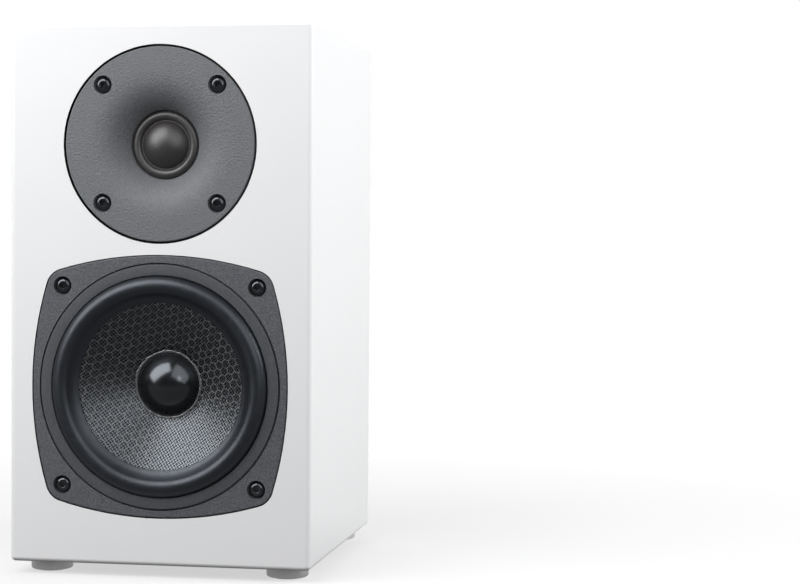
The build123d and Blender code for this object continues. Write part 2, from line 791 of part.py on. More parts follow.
with BuildPart() as threaded_inserts:
    # brass, pressed into the back of the baffle
    for axis_z, places in ((tweeter_z, tweeter_screws_at), (woofer_z, woofer_screws_at)):
        with BuildSketch(facing_front(axis_z, baffle_thickness)):
            with places:
                Circle(insert_diameter / 2)
                Circle(driver_screw_shank_diameter / 2 + thread_clearance, mode=Mode.SUBTRACT)
        extrude(amount=insert_length)
keep(threaded_inserts, "threaded_inserts")

# ================================================================ woofer
ledge = -frame_ledge_depth
basket_back = -basket_depth
top_plate_back = basket_back - woofer_top_plate_thickness
magnet_back = top_plate_back - woofer_magnet_thickness
yoke_back = magnet_back - woofer_back_plate_thickness
coil_radius = coil_diameter / 2
pole_radius = coil_radius - former_thickness - woofer_gap
gap_radius = coil_radius + coil_thickness + woofer_gap
basket_radius = basket_diameter / 2
bowl_inner = basket_radius - basket_wall
spider_ledge = -spider_ledge_depth
rear_radius = basket_rear_diameter / 2
# radius of the bowl's inner wall where the spider's ledge meets it
bowl_run = basket_depth - basket_straight
ledge_share = (spider_ledge_depth - basket_straight) / bowl_run
spider_wall = bowl_inner - (basket_radius - rear_radius) * ledge_share

with BuildPart() as basket_window:
    # cutter for one window between two spokes, with rounded corners
    with BuildSketch(front_profile(woofer_z)):
        Polygon(
            (spider_wall - spider_ledge_width, -window_bottom),
            (basket_radius + 1, -window_bottom),
            (basket_radius + 1, -window_top),
            (spider_wall - spider_ledge_width, -window_top),
            align=None,
        )
    revolve(axis=front_axis(woofer_z), revolution_arc=window_angle)
    radial_edges = basket_window.edges().filter_by(GeomType.LINE).filter_by(
        lambda e: abs((e @ 0).Y - (e @ 1).Y) < 0.01
    )
    fillet(radial_edges, window_corner_radius)

with BuildPart() as spoke_rib:
    # fin down the back of one spoke, rooted in the middle of the bowl's wall
    rib_radius = basket_radius - spoke_rib_setback
    with BuildSketch(front_profile(woofer_z)):
        Polygon(
            (basket_radius - basket_wall / 2, -basket_straight),
            (rib_radius, -basket_straight),
            (rib_radius, -basket_straight - spoke_rib_run),
            (rear_radius, basket_back + basket_floor),
            align=None,
        )
    extrude(amount=spoke_rib_width / 2, both=True)

with BuildPart() as woofer_frame:
    with BuildSketch(facing_front(woofer_z)):
        add(frame_outline())
        Circle(bowl_inner, mode=Mode.SUBTRACT)
    extrude(amount=-frame_thickness)
    front_edges = woofer_frame.edges().group_by(Axis.Y)[0]
    fillet(front_edges - rims(woofer_frame, bowl_inner), frame_edge_radius)
    revolve(
        turned(
            woofer_z,
            (bowl_inner, -frame_thickness / 2),
            (basket_radius, -frame_thickness / 2),
            (basket_radius, -basket_straight),
            (rear_radius, basket_back),
            (basket_bore_diameter / 2, basket_back),
            (basket_bore_diameter / 2, basket_back + basket_floor),
            (spider_wall - spider_ledge_width, basket_back + basket_floor),
            (spider_wall - spider_ledge_width, spider_ledge),
            (spider_wall, spider_ledge),
            (bowl_inner, -basket_straight),
        ),
        axis=front_axis(woofer_z),
    )
    bowl_corner = rims(woofer_frame, basket_radius).sort_by(Axis.Y)[-1]
    rear_corner = rims(woofer_frame, rear_radius).sort_by(Axis.Y)[-1]
    fillet([bowl_corner, rear_corner], basket_bend_radius)
    # windows all round from the top one, with a ribbed spoke after each
    window_step = 360 / window_count
    for step in range(window_count):
        turn = 90 + step * window_step
        window = basket_window.part.rotate(front_axis(woofer_z), turn - window_angle / 2)
        add(window, mode=Mode.SUBTRACT)
        add(spoke_rib.part.rotate(front_axis(woofer_z), turn + window_step / 2))
    with BuildSketch(facing_front(woofer_z)):
        Circle(frame_ledge_diameter / 2)
    extrude(amount=-frame_ledge_depth, mode=Mode.SUBTRACT)
    with BuildSketch(facing_front(woofer_z)):
        with woofer_screws_at:
            Circle(screw_pocket_diameter / 2)
    extrude(amount=-woofer_pocket_depth, mode=Mode.SUBTRACT)
    with BuildSketch(facing_front(woofer_z)):
        with woofer_screws_at:
            Circle(driver_screw_shank_diameter / 2 + hole_clearance)
    extrude(amount=-frame_thickness, mode=Mode.SUBTRACT)
keep(woofer_frame, "woofer_frame")

with BuildPart() as driver_gaskets:
    # foam rings in the bottom of both rebates
    screw_hole_radius = driver_screw_shank_diameter / 2 + hole_clearance
    with BuildSketch(facing_front(woofer_z, frame_thickness)):
        add(frame_outline())
        Circle(woofer_hole_radius, mode=Mode.SUBTRACT)
        with woofer_screws_at:
            Circle(screw_hole_radius, mode=Mode.SUBTRACT)
    extrude(amount=-gasket_thickness)
    with BuildSketch(facing_front(tweeter_z, tweeter_plate_thickness)):
        Circle(tweeter_plate_diameter / 2)
        Circle(tweeter_hole_radius, mode=Mode.SUBTRACT)
        with tweeter_screws_at:
            Circle(screw_hole_radius, mode=Mode.SUBTRACT)
    extrude(amount=-gasket_thickness)
keep(driver_gaskets, "driver_gaskets")

with BuildPart() as woofer_trim_ring:
    revolve(
        ring(
            woofer_z,
            trim_ring_inner_diameter / 2,
            trim_ring_outer_diameter / 2,
            surround_top + trim_ring_height,
            surround_top,
        ),
        axis=front_axis(woofer_z),
    )
    fillet(woofer_trim_ring.edges().filter_by(GeomType.CIRCLE).group_by(Axis.Y)[0], trim_ring_height / 4)
keep(woofer_trim_ring, "woofer_trim_ring")

# The half-roll surround's two flat flanges lie on the frame's ledge and on the cone's rim.
roll_middle = roll_centre_diameter / 2
roll_outside = roll_radius + surround_thickness
with BuildPart() as woofer_surround:
    with BuildSketch(front_profile(woofer_z)):
        with BuildLine():
            lip = cone_rim_inner_diameter / 2
            Line((lip, ledge), (roll_middle - roll_radius, ledge))
            ThreePointArc(
                (roll_middle - roll_radius, ledge),
                (roll_middle, ledge + roll_radius),
                (roll_middle + roll_radius, ledge),
            )
            Polyline(
                (roll_middle + roll_radius, ledge),
                (surround_outer_diameter / 2, ledge),
                (surround_outer_diameter / 2, surround_top),
                (roll_middle + roll_outside, surround_top),
            )
            ThreePointArc(
                (roll_middle + roll_outside, surround_top),
                (roll_middle, roll_crest),
                (roll_middle - roll_outside, surround_top),
            )
            Polyline((roll_middle - roll_outside, surround_top), (lip, surround_top), (lip, ledge))
        make_face()
    revolve(axis=front_axis(woofer_z))
keep(woofer_surround, "woofer_surround")

cone_slope = cone_drop / (cone_rim_inner_diameter / 2 - coil_radius)
cone_thickness_along_axis = cone_thickness * sqrt(1 + cone_slope**2)


def cone_face(radius):
    """Height of the cone's front face at a radius."""
    return ledge - (cone_rim_inner_diameter / 2 - radius) * cone_slope


with BuildPart() as woofer_cone:
    rim_inner = cone_rim_inner_diameter / 2
    rim_outer = cone_rim_diameter / 2
    revolve(
        turned(
            woofer_z,
            (coil_radius, cone_face(coil_radius)),
            (rim_inner, ledge),
            (rim_outer, ledge),
            (rim_outer, ledge - cone_thickness),
            (rim_inner, ledge - cone_thickness),
            (coil_radius, cone_face(coil_radius) - cone_thickness_along_axis),
        ),
        axis=front_axis(woofer_z),
    )
keep(woofer_cone, "woofer_cone")

cap_radius = dust_cap_diameter / 2
cap_inner = cap_radius - dust_cap_thickness
with BuildPart() as dust_cap:
    with BuildSketch(front_profile(woofer_z)):
        with BuildLine():
            outer_arc = dome_arc(cap_radius, cone_face(cap_radius), dust_cap_height)
            inner_foot = cone_face(cap_inner)
            inner_height = cone_face(cap_radius) + dust_cap_height - dust_cap_thickness - inner_foot
            inner_arc = dome_arc(cap_inner, inner_foot, inner_height)
            Line(outer_arc @ 1, inner_arc @ 1)
            Line(outer_arc @ 0, inner_arc @ 0)
        make_face()
    revolve(axis=front_axis(woofer_z))
keep(dust_cap, "dust_cap")

with BuildPart() as cap_glue_bead:
    bead_outer = cap_radius + glue_bead_width
    revolve(
        turned(
            woofer_z,
            (cap_radius, cone_face(cap_radius)),
            (bead_outer, cone_face(bead_outer)),
            (cap_radius + glue_bead_width / 2, cone_face(cap_radius) + glue_bead_height),
            (cap_radius, cone_face(cap_radius) + glue_bead_height),
        ),
        axis=front_axis(woofer_z),
    )
keep(cap_glue_bead, "cap_glue_bead")

former_top = cone_face(coil_radius) + former_top_stand
coil_middle = basket_back - woofer_top_plate_thickness / 2
former_bottom = coil_middle - coil_length / 2 - former_tail
with BuildPart() as voice_coil_former:
    revolve(
        ring(woofer_z, coil_radius - former_thickness, coil_radius, former_top, former_bottom),
        axis=front_axis(woofer_z),
    )
keep(voice_coil_former, "voice_coil_former")

with BuildPart() as voice_coil:
    revolve(
        ring(
            woofer_z,
            coil_radius,
            coil_radius + coil_thickness,
            coil_middle + coil_length / 2,
            coil_middle - coil_length / 2,
        ),
        axis=front_axis(woofer_z),
    )
keep(voice_coil, "voice_coil")

with BuildPart() as spider:
    # cloth disc folded into rings, between the coil former and the basket's ledge
    spider_inner = coil_radius + thread_clearance
    spider_outer = spider_wall - slip_clearance
    wave_start = spider_inner + spider_neck_width
    wave_end = spider_wall - spider_ledge_width - spider_ledge_gap
    wave_step = (wave_end - wave_start) / spider_wave_count
    crests = [
        (wave_start + (wave + 0.5) * wave_step, spider_ledge + (-1) ** wave * spider_wave)
        for wave in range(spider_wave_count)
    ]
    underside = [
        (spider_inner, spider_ledge),
        (wave_start, spider_ledge),
        *crests,
        (wave_end, spider_ledge),
        (spider_outer, spider_ledge),
    ]
    upper_side = [(radius, height + spider_thickness) for radius, height in reversed(underside)]
    revolve(turned(woofer_z, *underside, *upper_side), axis=front_axis(woofer_z))
keep(spider, "spider")

with BuildPart() as woofer_top_plate:
    revolve(
        ring(woofer_z, gap_radius, woofer_steel_diameter / 2, basket_back, top_plate_back),
        axis=front_axis(woofer_z),
    )
keep(woofer_top_plate, "woofer_top_plate")

with BuildPart() as woofer_magnet:
    revolve(
        ring(woofer_z, woofer_magnet_bore / 2, woofer_magnet_diameter / 2, top_plate_back, magnet_back),
        axis=front_axis(woofer_z),
    )
    chamfer(rims(woofer_magnet, woofer_magnet_diameter / 2), magnet_chamfer)
keep(woofer_magnet, "woofer_magnet")

with BuildPart() as woofer_yoke:
    vent = woofer_vent_diameter / 2
    revolve(
        turned(
            woofer_z,
            (vent, basket_back),
            (vent, magnet_back),
            (woofer_vent_mouth_diameter / 2, yoke_back),
            (woofer_steel_diameter / 2, yoke_back),
            (woofer_steel_diameter / 2, magnet_back),
            (pole_radius, magnet_back),
            (pole_radius, basket_back),
        ),
        axis=front_axis(woofer_z),
    )
keep(woofer_yoke, "woofer_yoke")

# Insulating strip under the basket's rear rim, with the two solder tabs on it.
strip_inner = rear_radius - terminal_strip_overlap
strip_z = woofer_z + strip_inner
with BuildPart() as woofer_terminal_strip:
    with BuildSketch(facing_front(strip_z + terminal_strip_length / 2, basket_depth)):
        RectangleRounded(terminal_strip_width, terminal_strip_length, terminal_strip_corner)
    extrude(amount=-terminal_strip_thickness)
keep(woofer_terminal_strip, "woofer_terminal_strip")

tab_z = strip_z + terminal_strip_length - tab_length / 2 + tab_overhang
tab_face = -basket_depth - terminal_strip_thickness - tab_thickness
with BuildPart() as driver_tabs:
    with BuildSketch(facing_front(tab_z, -tab_face)):
        with GridLocations(tab_spacing, 1, 2, 1):
            Rectangle(tab_width, tab_length)
    extrude(amount=tab_thickness)
    with BuildSketch(facing_front(tweeter_z - tweeter_tab_radius, -boss_back)):
        with GridLocations(tweeter_tab_spacing, 1, 2, 1):
            Rectangle(tweeter_tab_width, tab_thickness)
    extrude(amount=-tweeter_tab_length)
keep(driver_tabs, "driver_tabs")

# ================================================================ reflex port
port_radius = port_diameter / 2
flare_back = port_flange_thickness - port_flare_radius
with BuildPart() as port_tube:
    with BuildSketch(rear_profile(0, port_z)):
        with BuildLine():
            bore_line = Line((port_radius, -port_length), (port_radius, flare_back))
            flare = RadiusArc(
                bore_line @ 1,
                (port_radius + port_flare_radius, port_flange_thickness),
                -port_flare_radius,
            )
            Polyline(
                flare @ 1,
                (port_flange_diameter / 2, port_flange_thickness),
                (port_flange_diameter / 2, 0),
                (port_collar_diameter / 2, 0),
                (port_collar_diameter / 2, -rear_panel_thickness),
                (port_radius + port_wall, -rear_panel_thickness),
                (port_radius + port_wall, -port_length),
                bore_line @ 0,
            )
        make_face()
    revolve(axis=rear_axis(0, port_z))
    fillet(rims(port_tube, port_flange_diameter / 2).sort_by(Axis.Y)[-1], port_flange_thickness * 0.4)
    fillet(rims(port_tube, port_radius).sort_by(Axis.Y)[0], port_wall * 0.6)
keep(port_tube, "port_tube")

# ================================================================ terminal cup and binding posts
# Heights of the posts' pieces are above the cup's floor, which lies at -cup_depth.
cup_radius = cup_diameter / 2
cup_screws_at = PolarLocations(cup_screw_circle / 2, 4, start_angle=45)
posts_at = GridLocations(post_spacing, 1, 2, 1)
with BuildPart() as terminal_cup:
    with BuildSketch(rear_profile(0, cup_z)):
        Polygon(
            (0, -cup_depth - cup_wall),
            (cup_radius + cup_wall, -cup_depth - cup_wall),
            (cup_radius + cup_wall, 0),
            (cup_flange_diameter / 2, 0),
            (cup_flange_diameter / 2, cup_flange_thickness),
            (cup_radius, cup_flange_thickness),
            (cup_radius, -cup_depth),
            (0, -cup_depth),
            align=None,
        )
    revolve(axis=rear_axis(0, cup_z))
    cup_mouth = rims(terminal_cup, cup_radius).sort_by(Axis.Y)[-1]
    cup_edge = rims(terminal_cup, cup_flange_diameter / 2).sort_by(Axis.Y)[-1]
    fillet([cup_mouth, cup_edge], cup_flange_thickness * 0.4)
    fillet(rims(terminal_cup, cup_radius).sort_by(Axis.Y)[0], cup_wall)
    chamfer(rims(terminal_cup, cup_radius + cup_wall).sort_by(Axis.Y)[0], cup_wall * 0.6)
    with BuildSketch(facing_rear(0, cup_z, cup_flange_thickness)):
        with cup_screws_at:
            Circle(cup_screw_shank_diameter / 2 + hole_clearance)
    extrude(amount=-cup_flange_thickness, mode=Mode.SUBTRACT)
    with BuildSketch(facing_rear(0, cup_z, -cup_depth)):
        with posts_at:
            Circle(post_diameter / 2 + thread_clearance)
    extrude(amount=-cup_wall, mode=Mode.SUBTRACT)
keep(terminal_cup, "terminal_cup")

with BuildPart() as cup_screws:
    with BuildSketch(facing_rear(0, cup_z, cup_flange_thickness)):
        with cup_screws_at:
            Circle(cup_screw_head_diameter / 2)
    extrude(amount=cup_screw_head_height)
    fillet(cup_screws.edges().group_by(Axis.Y)[-1], cup_screw_head_height * 0.6)
    with BuildSketch(facing_rear(0, cup_z, cup_flange_thickness + cup_screw_head_height)):
        with cup_screws_at:
            Rectangle(cross_recess_length, cross_recess_width)
            Rectangle(cross_recess_width, cross_recess_length)
    extrude(amount=-cross_recess_depth, mode=Mode.SUBTRACT)
    with BuildSketch(facing_rear(0, cup_z, cup_flange_thickness)):
        with cup_screws_at:
            Circle(cup_screw_shank_diameter / 2)
    extrude(amount=-cup_screw_length)
keep(cup_screws, "cup_screws")

collar_top = -cup_depth + collar_thickness
washer_top = collar_top + clamp_washer_thickness
knob_top = washer_top + knob_length
post_radius = post_diameter / 2
floor_back = -cup_depth - cup_wall
tag_back = floor_back - solder_tag_thickness
post_back = tag_back - post_nut_thickness - post_tail
post_length = knob_top - post_end_gap - post_back
clear_of_thread = post_radius + thread_clearance
with BuildPart() as binding_posts:
    with BuildSketch(facing_rear(0, cup_z, post_back)):
        with posts_at:
            Circle(post_radius)
    extrude(amount=post_length)
    chamfer(binding_posts.edges().group_by(Axis.Y)[0], post_chamfer)
    with BuildSketch(facing_rear(0, cup_z, post_back + post_length)):
        with posts_at:
            Circle(banana_diameter / 2)
    extrude(amount=-banana_depth, mode=Mode.SUBTRACT)
    # a cross hole in each for a bare wire, just above the collar
    with BuildSketch(Plane.XY.offset(cup_z)):
        with Locations((0, back_y + collar_top + wire_hole_diameter / 2)):
            with posts_at:
                Circle(wire_hole_diameter / 2)
    extrude(amount=post_diameter, both=True, mode=Mode.SUBTRACT)
keep(binding_posts, "binding_posts")

with BuildPart() as post_collars:
    with BuildSketch(facing_rear(0, cup_z, -cup_depth)):
        with posts_at:
            Circle(collar_diameter / 2)
            Circle(clear_of_thread, mode=Mode.SUBTRACT)
    extrude(amount=collar_thickness)
keep(post_collars, "post_collars")

for colour, side in (("red", 1), ("black", -1)):
    post_x = side * post_spacing / 2
    with BuildPart() as clamp_washer:
        with BuildSketch(facing_rear(post_x, cup_z, collar_top)):
            Circle(clamp_washer_diameter / 2)
            Circle(post_radius + slip_clearance, mode=Mode.SUBTRACT)
        extrude(amount=clamp_washer_thickness)
    keep(clamp_washer, f"{colour}_clamp_washer")

    with BuildPart() as knob:
        with BuildSketch(facing_rear(post_x, cup_z, washer_top)):
            Circle(knob_diameter / 2)
        extrude(amount=knob_length)
        fillet(knob.edges().group_by(Axis.Y)[-1], knob_end_radius)
        # grip flutes, stopping short of the end
        with BuildSketch(facing_rear(post_x, cup_z, washer_top)):
            with PolarLocations(knob_diameter / 2, knob_flute_count):
                Circle(knob_flute_diameter / 2)
        extrude(amount=knob_flute_length, mode=Mode.SUBTRACT)
        with BuildSketch(facing_rear(post_x, cup_z, washer_top)):
            Circle(clear_of_thread)
        extrude(amount=knob_length, mode=Mode.SUBTRACT)
    keep(knob, f"{colour}_knob")

with BuildPart() as solder_tags:
    with BuildSketch(facing_rear(0, cup_z, floor_back)):
        with posts_at:
            Circle(post_nut_width / 2)
            with Locations((0, -solder_tag_length / 2)):
                Rectangle(solder_tag_width, solder_tag_length)
            Circle(post_radius + thread_clearance, mode=Mode.SUBTRACT)
    extrude(amount=-solder_tag_thickness)
keep(solder_tags, "solder_tags")

with BuildPart() as post_nuts:
    with BuildSketch(facing_rear(0, cup_z, tag_back)):
        with posts_at:
            RegularPolygon(post_nut_width / 2, 6, major_radius=False)
            Circle(post_radius + thread_clearance, mode=Mode.SUBTRACT)
    extrude(amount=-post_nut_thickness)
keep(post_nuts, "post_nuts")

# ================================================================ crossover
floor_z = base_z + panel_thickness
board_z = floor_z + standoff_height
board_top = board_z + board_thickness
board_y = front_y + board_setback
with BuildPart() as board_standoffs:
    with BuildSketch(Plane.XY.offset(floor_z)):
        with Locations(*standoffs_at):
            Circle(standoff_diameter / 2)
            Circle(board_screw_diameter / 2 + hole_clearance, mode=Mode.SUBTRACT)
    extrude(amount=standoff_height)
keep(board_standoffs, "board_standoffs")

with BuildPart() as crossover_board:
    with BuildSketch(Plane.XY.offset(board_z)):
        with Locations((0, board_y)):
            Rectangle(board_length, board_width)
        with Locations(*standoffs_at):
            Circle(board_screw_diameter / 2 + hole_clearance, mode=Mode.SUBTRACT)
    extrude(amount=board_thickness)
keep(crossover_board, "crossover_board")

with BuildPart() as board_screws:
    with BuildSketch(Plane.XY.offset(board_top)):
        with Locations(*standoffs_at):
            Circle(board_screw_head_diameter / 2)
    extrude(amount=board_screw_head_height)
    with BuildSketch(Plane.XY.offset(board_top)):
        with Locations(*standoffs_at):
            Circle(board_screw_diameter / 2)
    extrude(amount=-board_screw_length)
keep(board_screws, "board_screws")

# Parts stand in from the board's edges: chokes at two corners, capacitors side by side between them.
board_half_length = board_length / 2
board_half_width = board_width / 2
woofer_choke_radius = woofer_choke_diameter / 2
tweeter_choke_radius = tweeter_choke_diameter / 2
woofer_choke_x = -board_half_length + parts_gap + woofer_choke_radius
woofer_choke_y = board_half_width - board_hole_inset - woofer_choke_radius
tweeter_choke_x = board_half_length - parts_gap - tweeter_choke_radius
tweeter_choke_y = -board_half_width + standoff_diameter + parts_gap + tweeter_choke_radius
capacitors_x = (woofer_choke_x + woofer_choke_radius + tweeter_choke_x - tweeter_choke_radius) / 2
woofer_capacitor_y = board_half_width - 2 * parts_gap - woofer_capacitor_diameter / 2
capacitors_step = (woofer_capacitor_diameter + tweeter_capacitor_diameter) / 2 + parts_gap
tweeter_capacitor_y = woofer_capacitor_y - capacitors_step
resistor_x = -standoff_x + standoff_diameter / 2 + parts_gap + resistor_length / 2
resistor_y = -board_half_width + 2 * lead_diameter + resistor_width / 2
chokes = (
    (woofer_choke_x, woofer_choke_y, woofer_choke_diameter, woofer_choke_height, woofer_choke_core),
    (tweeter_choke_x, tweeter_choke_y, tweeter_choke_diameter, tweeter_choke_height, tweeter_choke_core),
)
with BuildPart() as inductor_bobbins:
    for x, y, width, height, core in chokes:
        for level, radius, thickness in (
            (0, width / 2, bobbin_flange),
            (bobbin_flange, core / 2, height - 2 * bobbin_flange),
            (height - bobbin_flange, width / 2, bobbin_flange),
        ):
            with BuildSketch(Plane.XY.offset(board_top + level)):
                with Locations((x, board_y + y)):
                    Circle(radius)
            extrude(amount=thickness)
keep(inductor_bobbins, "inductor_bobbins")

with BuildPart() as inductor_windings:
    for x, y, width, height, core in chokes:
        with BuildSketch(Plane.XY.offset(board_top + bobbin_flange)):
            with Locations((x, board_y + y)):
                Circle(width / 2 - bobbin_flange)
                Circle(core / 2, mode=Mode.SUBTRACT)
        extrude(amount=height - 2 * bobbin_flange)
keep(inductor_windings, "inductor_windings")

with BuildPart() as capacitors:
    for length, diameter, y in (
        (woofer_capacitor_length, woofer_capacitor_diameter, woofer_capacitor_y),
        (tweeter_capacitor_length, tweeter_capacitor_diameter, tweeter_capacitor_y),
    ):
        with BuildSketch(Plane.YZ.offset(capacitors_x - length / 2)):
            with Locations((board_y + y, board_top + diameter / 2)):
                Circle(diameter / 2)
        extrude(amount=length)
    fillet(capacitors.edges().filter_by(GeomType.CIRCLE), capacitor_edge_radius)
keep(capacitors, "capacitors")

with BuildPart() as resistor:
    with BuildSketch(Plane.XY.offset(board_top)):
        with Locations((resistor_x, board_y + resistor_y)):
            Rectangle(resistor_length, resistor_width)
    extrude(amount=resistor_width)
    chamfer(resistor.edges().filter_by(Axis.X), resistor_chamfer)
keep(resistor, "resistor")

# ================================================================ wiring
# Each lead is a chain of straight runs joined by arcs.


def lead(points, diameter, bend):
    """Round wire along a route of points."""
    with BuildPart() as wire:
        with BuildLine() as route:
            FilletPolyline(*points, radius=bend)
        with BuildSketch(Plane(origin=route.line @ 0, z_dir=route.line % 0)):
            Circle(diameter / 2)
        sweep(path=route.line)
    return wire.part


tag_front_y = back_y + tag_back - lead_diameter / 2
tag_tip_z = cup_z - solder_tag_length + lead_diameter
landing_y = board_y - board_width / 2 + lead_diameter
board_rear_y = board_y + board_width / 2 - lead_diameter
woofer_tab_y = front_y - tab_face
woofer_lead_z = tab_z + tab_length / 2 - lead_diameter
tweeter_tab_y = front_y - boss_back + tweeter_tab_length
tweeter_tab_z = tweeter_z - tweeter_tab_radius
for colour, side in (("red", 1), ("black", -1)):
    post_x = side * post_spacing / 2
    woofer_tab_x = side * tab_spacing / 2
    tweeter_tab_x = side * tweeter_tab_spacing / 2
    tweeter_lead_x = side * tweeter_lead_spacing / 2
    input_route = (
        (post_x, tag_front_y, tag_tip_z),
        (post_x, tag_front_y, board_top + lead_rise),
        (post_x, board_rear_y, board_top + lead_rise / 2),
        (post_x, board_rear_y, board_top),
    )
    woofer_route = (
        (woofer_tab_x, landing_y, board_top),
        (woofer_tab_x, landing_y, woofer_z + woofer_lead_rise),
        (woofer_tab_x, landing_y - lead_lean, woofer_lead_z),
        (woofer_tab_x, woofer_tab_y, woofer_lead_z),
    )
    tweeter_route = (
        (tweeter_lead_x, landing_y, board_top),
        (tweeter_lead_x, landing_y, woofer_z + tweeter_lead_rise),
        ((tweeter_lead_x + tweeter_tab_x) / 2, landing_y - lead_lean, tweeter_tab_z - tweeter_lead_drop),
        (tweeter_tab_x, landing_y - tweeter_lead_lean, tweeter_tab_z),
        (tweeter_tab_x, tweeter_tab_y, tweeter_tab_z),
    )
    with BuildPart() as leads:
        add(lead(input_route, lead_diameter, lead_bend * 0.5))
        add(lead(woofer_route, lead_diameter, lead_bend))
        add(lead(tweeter_route, lead_diameter, lead_bend))
    keep(leads, f"{colour}_leads")

# Tinsel leads run from the strip through the basket's top window to the back of the cone.
tinsel_foot = cone_rim_inner_diameter / 2 - tinsel_inset
cone_back = cone_face(tinsel_foot) - cone_thickness_along_axis
tinsel_up = strip_inner + terminal_strip_length - tinsel_diameter
tinsel_out = -window_bottom + tinsel_rise
with BuildPart() as tinsel_leads:
    for side in (-1, 1):
        tinsel_x = side * tab_spacing / 2
        stations = (
            (tinsel_up, -basket_depth),
            (tinsel_up, tinsel_out),
            (tinsel_foot + tinsel_slack, tinsel_out),
            (tinsel_foot, cone_back - tinsel_stub),
            (tinsel_foot, cone_back),
        )
        route_points = [(tinsel_x, front_y - height, woofer_z + up) for up, height in stations]
        add(lead(route_points, tinsel_diameter, (tinsel_bend, tinsel_bend, tinsel_end_bend)))
keep(tinsel_leads, "tinsel_leads")
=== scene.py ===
import json
import math

import bmesh
import bpy
import numpy as np
from mathutils import Matrix, Vector

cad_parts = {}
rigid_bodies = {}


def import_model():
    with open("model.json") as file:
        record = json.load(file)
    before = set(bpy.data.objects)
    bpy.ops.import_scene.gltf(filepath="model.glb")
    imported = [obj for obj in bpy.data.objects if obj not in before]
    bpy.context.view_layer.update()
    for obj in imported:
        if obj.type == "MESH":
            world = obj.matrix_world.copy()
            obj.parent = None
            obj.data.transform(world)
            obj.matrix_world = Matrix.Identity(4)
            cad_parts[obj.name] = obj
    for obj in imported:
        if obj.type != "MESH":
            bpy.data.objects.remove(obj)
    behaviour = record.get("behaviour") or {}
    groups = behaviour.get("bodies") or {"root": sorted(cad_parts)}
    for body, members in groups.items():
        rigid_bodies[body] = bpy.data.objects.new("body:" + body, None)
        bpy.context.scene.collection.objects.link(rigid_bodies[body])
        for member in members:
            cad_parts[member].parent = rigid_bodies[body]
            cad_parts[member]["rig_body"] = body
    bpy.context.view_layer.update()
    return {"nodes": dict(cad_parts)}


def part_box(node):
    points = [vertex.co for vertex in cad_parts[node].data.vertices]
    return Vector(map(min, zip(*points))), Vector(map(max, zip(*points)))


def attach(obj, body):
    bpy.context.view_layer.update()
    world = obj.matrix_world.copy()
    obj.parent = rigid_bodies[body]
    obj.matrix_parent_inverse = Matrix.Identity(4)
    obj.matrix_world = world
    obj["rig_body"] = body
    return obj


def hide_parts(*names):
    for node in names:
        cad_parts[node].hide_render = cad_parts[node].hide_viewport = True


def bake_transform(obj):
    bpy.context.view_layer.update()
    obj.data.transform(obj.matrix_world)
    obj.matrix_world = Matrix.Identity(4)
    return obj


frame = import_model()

mm = 0.001
print("frame loaded with", len(frame["nodes"]), "nodes")

# places that everything else is set out from
baffleLow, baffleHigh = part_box("front_baffle")
faceY = baffleLow.y  # the baffle's face, from which the drivers' heights are counted


def middleOf(node):
    low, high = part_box(node)
    return (low + high) / 2


tweeterAt = middleOf("tweeter_faceplate")
wooferAt = middleOf("woofer_trim_ring")


def newObject(name, data):
    made = bpy.data.objects.new(name, data)
    bpy.context.scene.collection.objects.link(made)
    return made


# camera: its place, and how many degrees it is turned about x, y and z
cameraSetup = {
    "place": (0.29425, -1.08915, 0.18563),
    "turned": (88.18276, -0.41479, 9.38662),
    "lens": 88.718,
    "sensor": 36.0,
    "sees": (0.05, 50.0),  # nearest and farthest
}


def makeCamera():
    data = bpy.data.cameras.new("camera")
    data.lens = cameraSetup["lens"]
    data.sensor_width = cameraSetup["sensor"]
    data.clip_start, data.clip_end = cameraSetup["sees"]
    camera = newObject("camera", data)
    camera.location = cameraSetup["place"]
    camera.rotation_euler = [math.radians(angle) for angle in cameraSetup["turned"]]
    bpy.context.scene.camera = camera


makeCamera()

# studio: soft boxes as (name, place, aimed at, width, height, degrees turned about their aim, watts)
studio = {
    "boxes": (
        ("keyBox", (-0.49, -0.60, 0.70), (0.0, -0.07, 0.18), 1.10, 0.70, 50.0, 11.2),
        ("topBox", (0.54, -0.70, 0.64), (0.02, -0.08, 0.18), 0.90, 0.80, -35.0, 3.7),
        ("frontBox", (0.62, -1.05, 0.46), (0.0, -0.08, 0.15), 0.16, 0.24, 0.0, 0.5),
        ("sideBox", (0.92, 0.09, 0.54), (0.08, 0.0, 0.20), 0.4, 0.4, 0.0, 7.3),
        ("backBox", (-0.5, 1.15, 0.50), (0.0, 0.08, 0.15), 0.9, 0.9, 0.0, 9.0),
    ),
    "worldLight": 0.04,
    "floorSize": 8.0,
    "floorPale": (0.09, 0.75),  # the floor's own tone: for the light it throws back, and to the camera
    # share of the floor's look that is plain white: to the camera it rises with the distance from the object,
    # and in polished things from before the object to behind it
    "seenGlow": (0.13, 0.50, 0.60, 1.0),
    "mirroredGlow": (-0.16, 0.16, 0.08, 1.0),
}


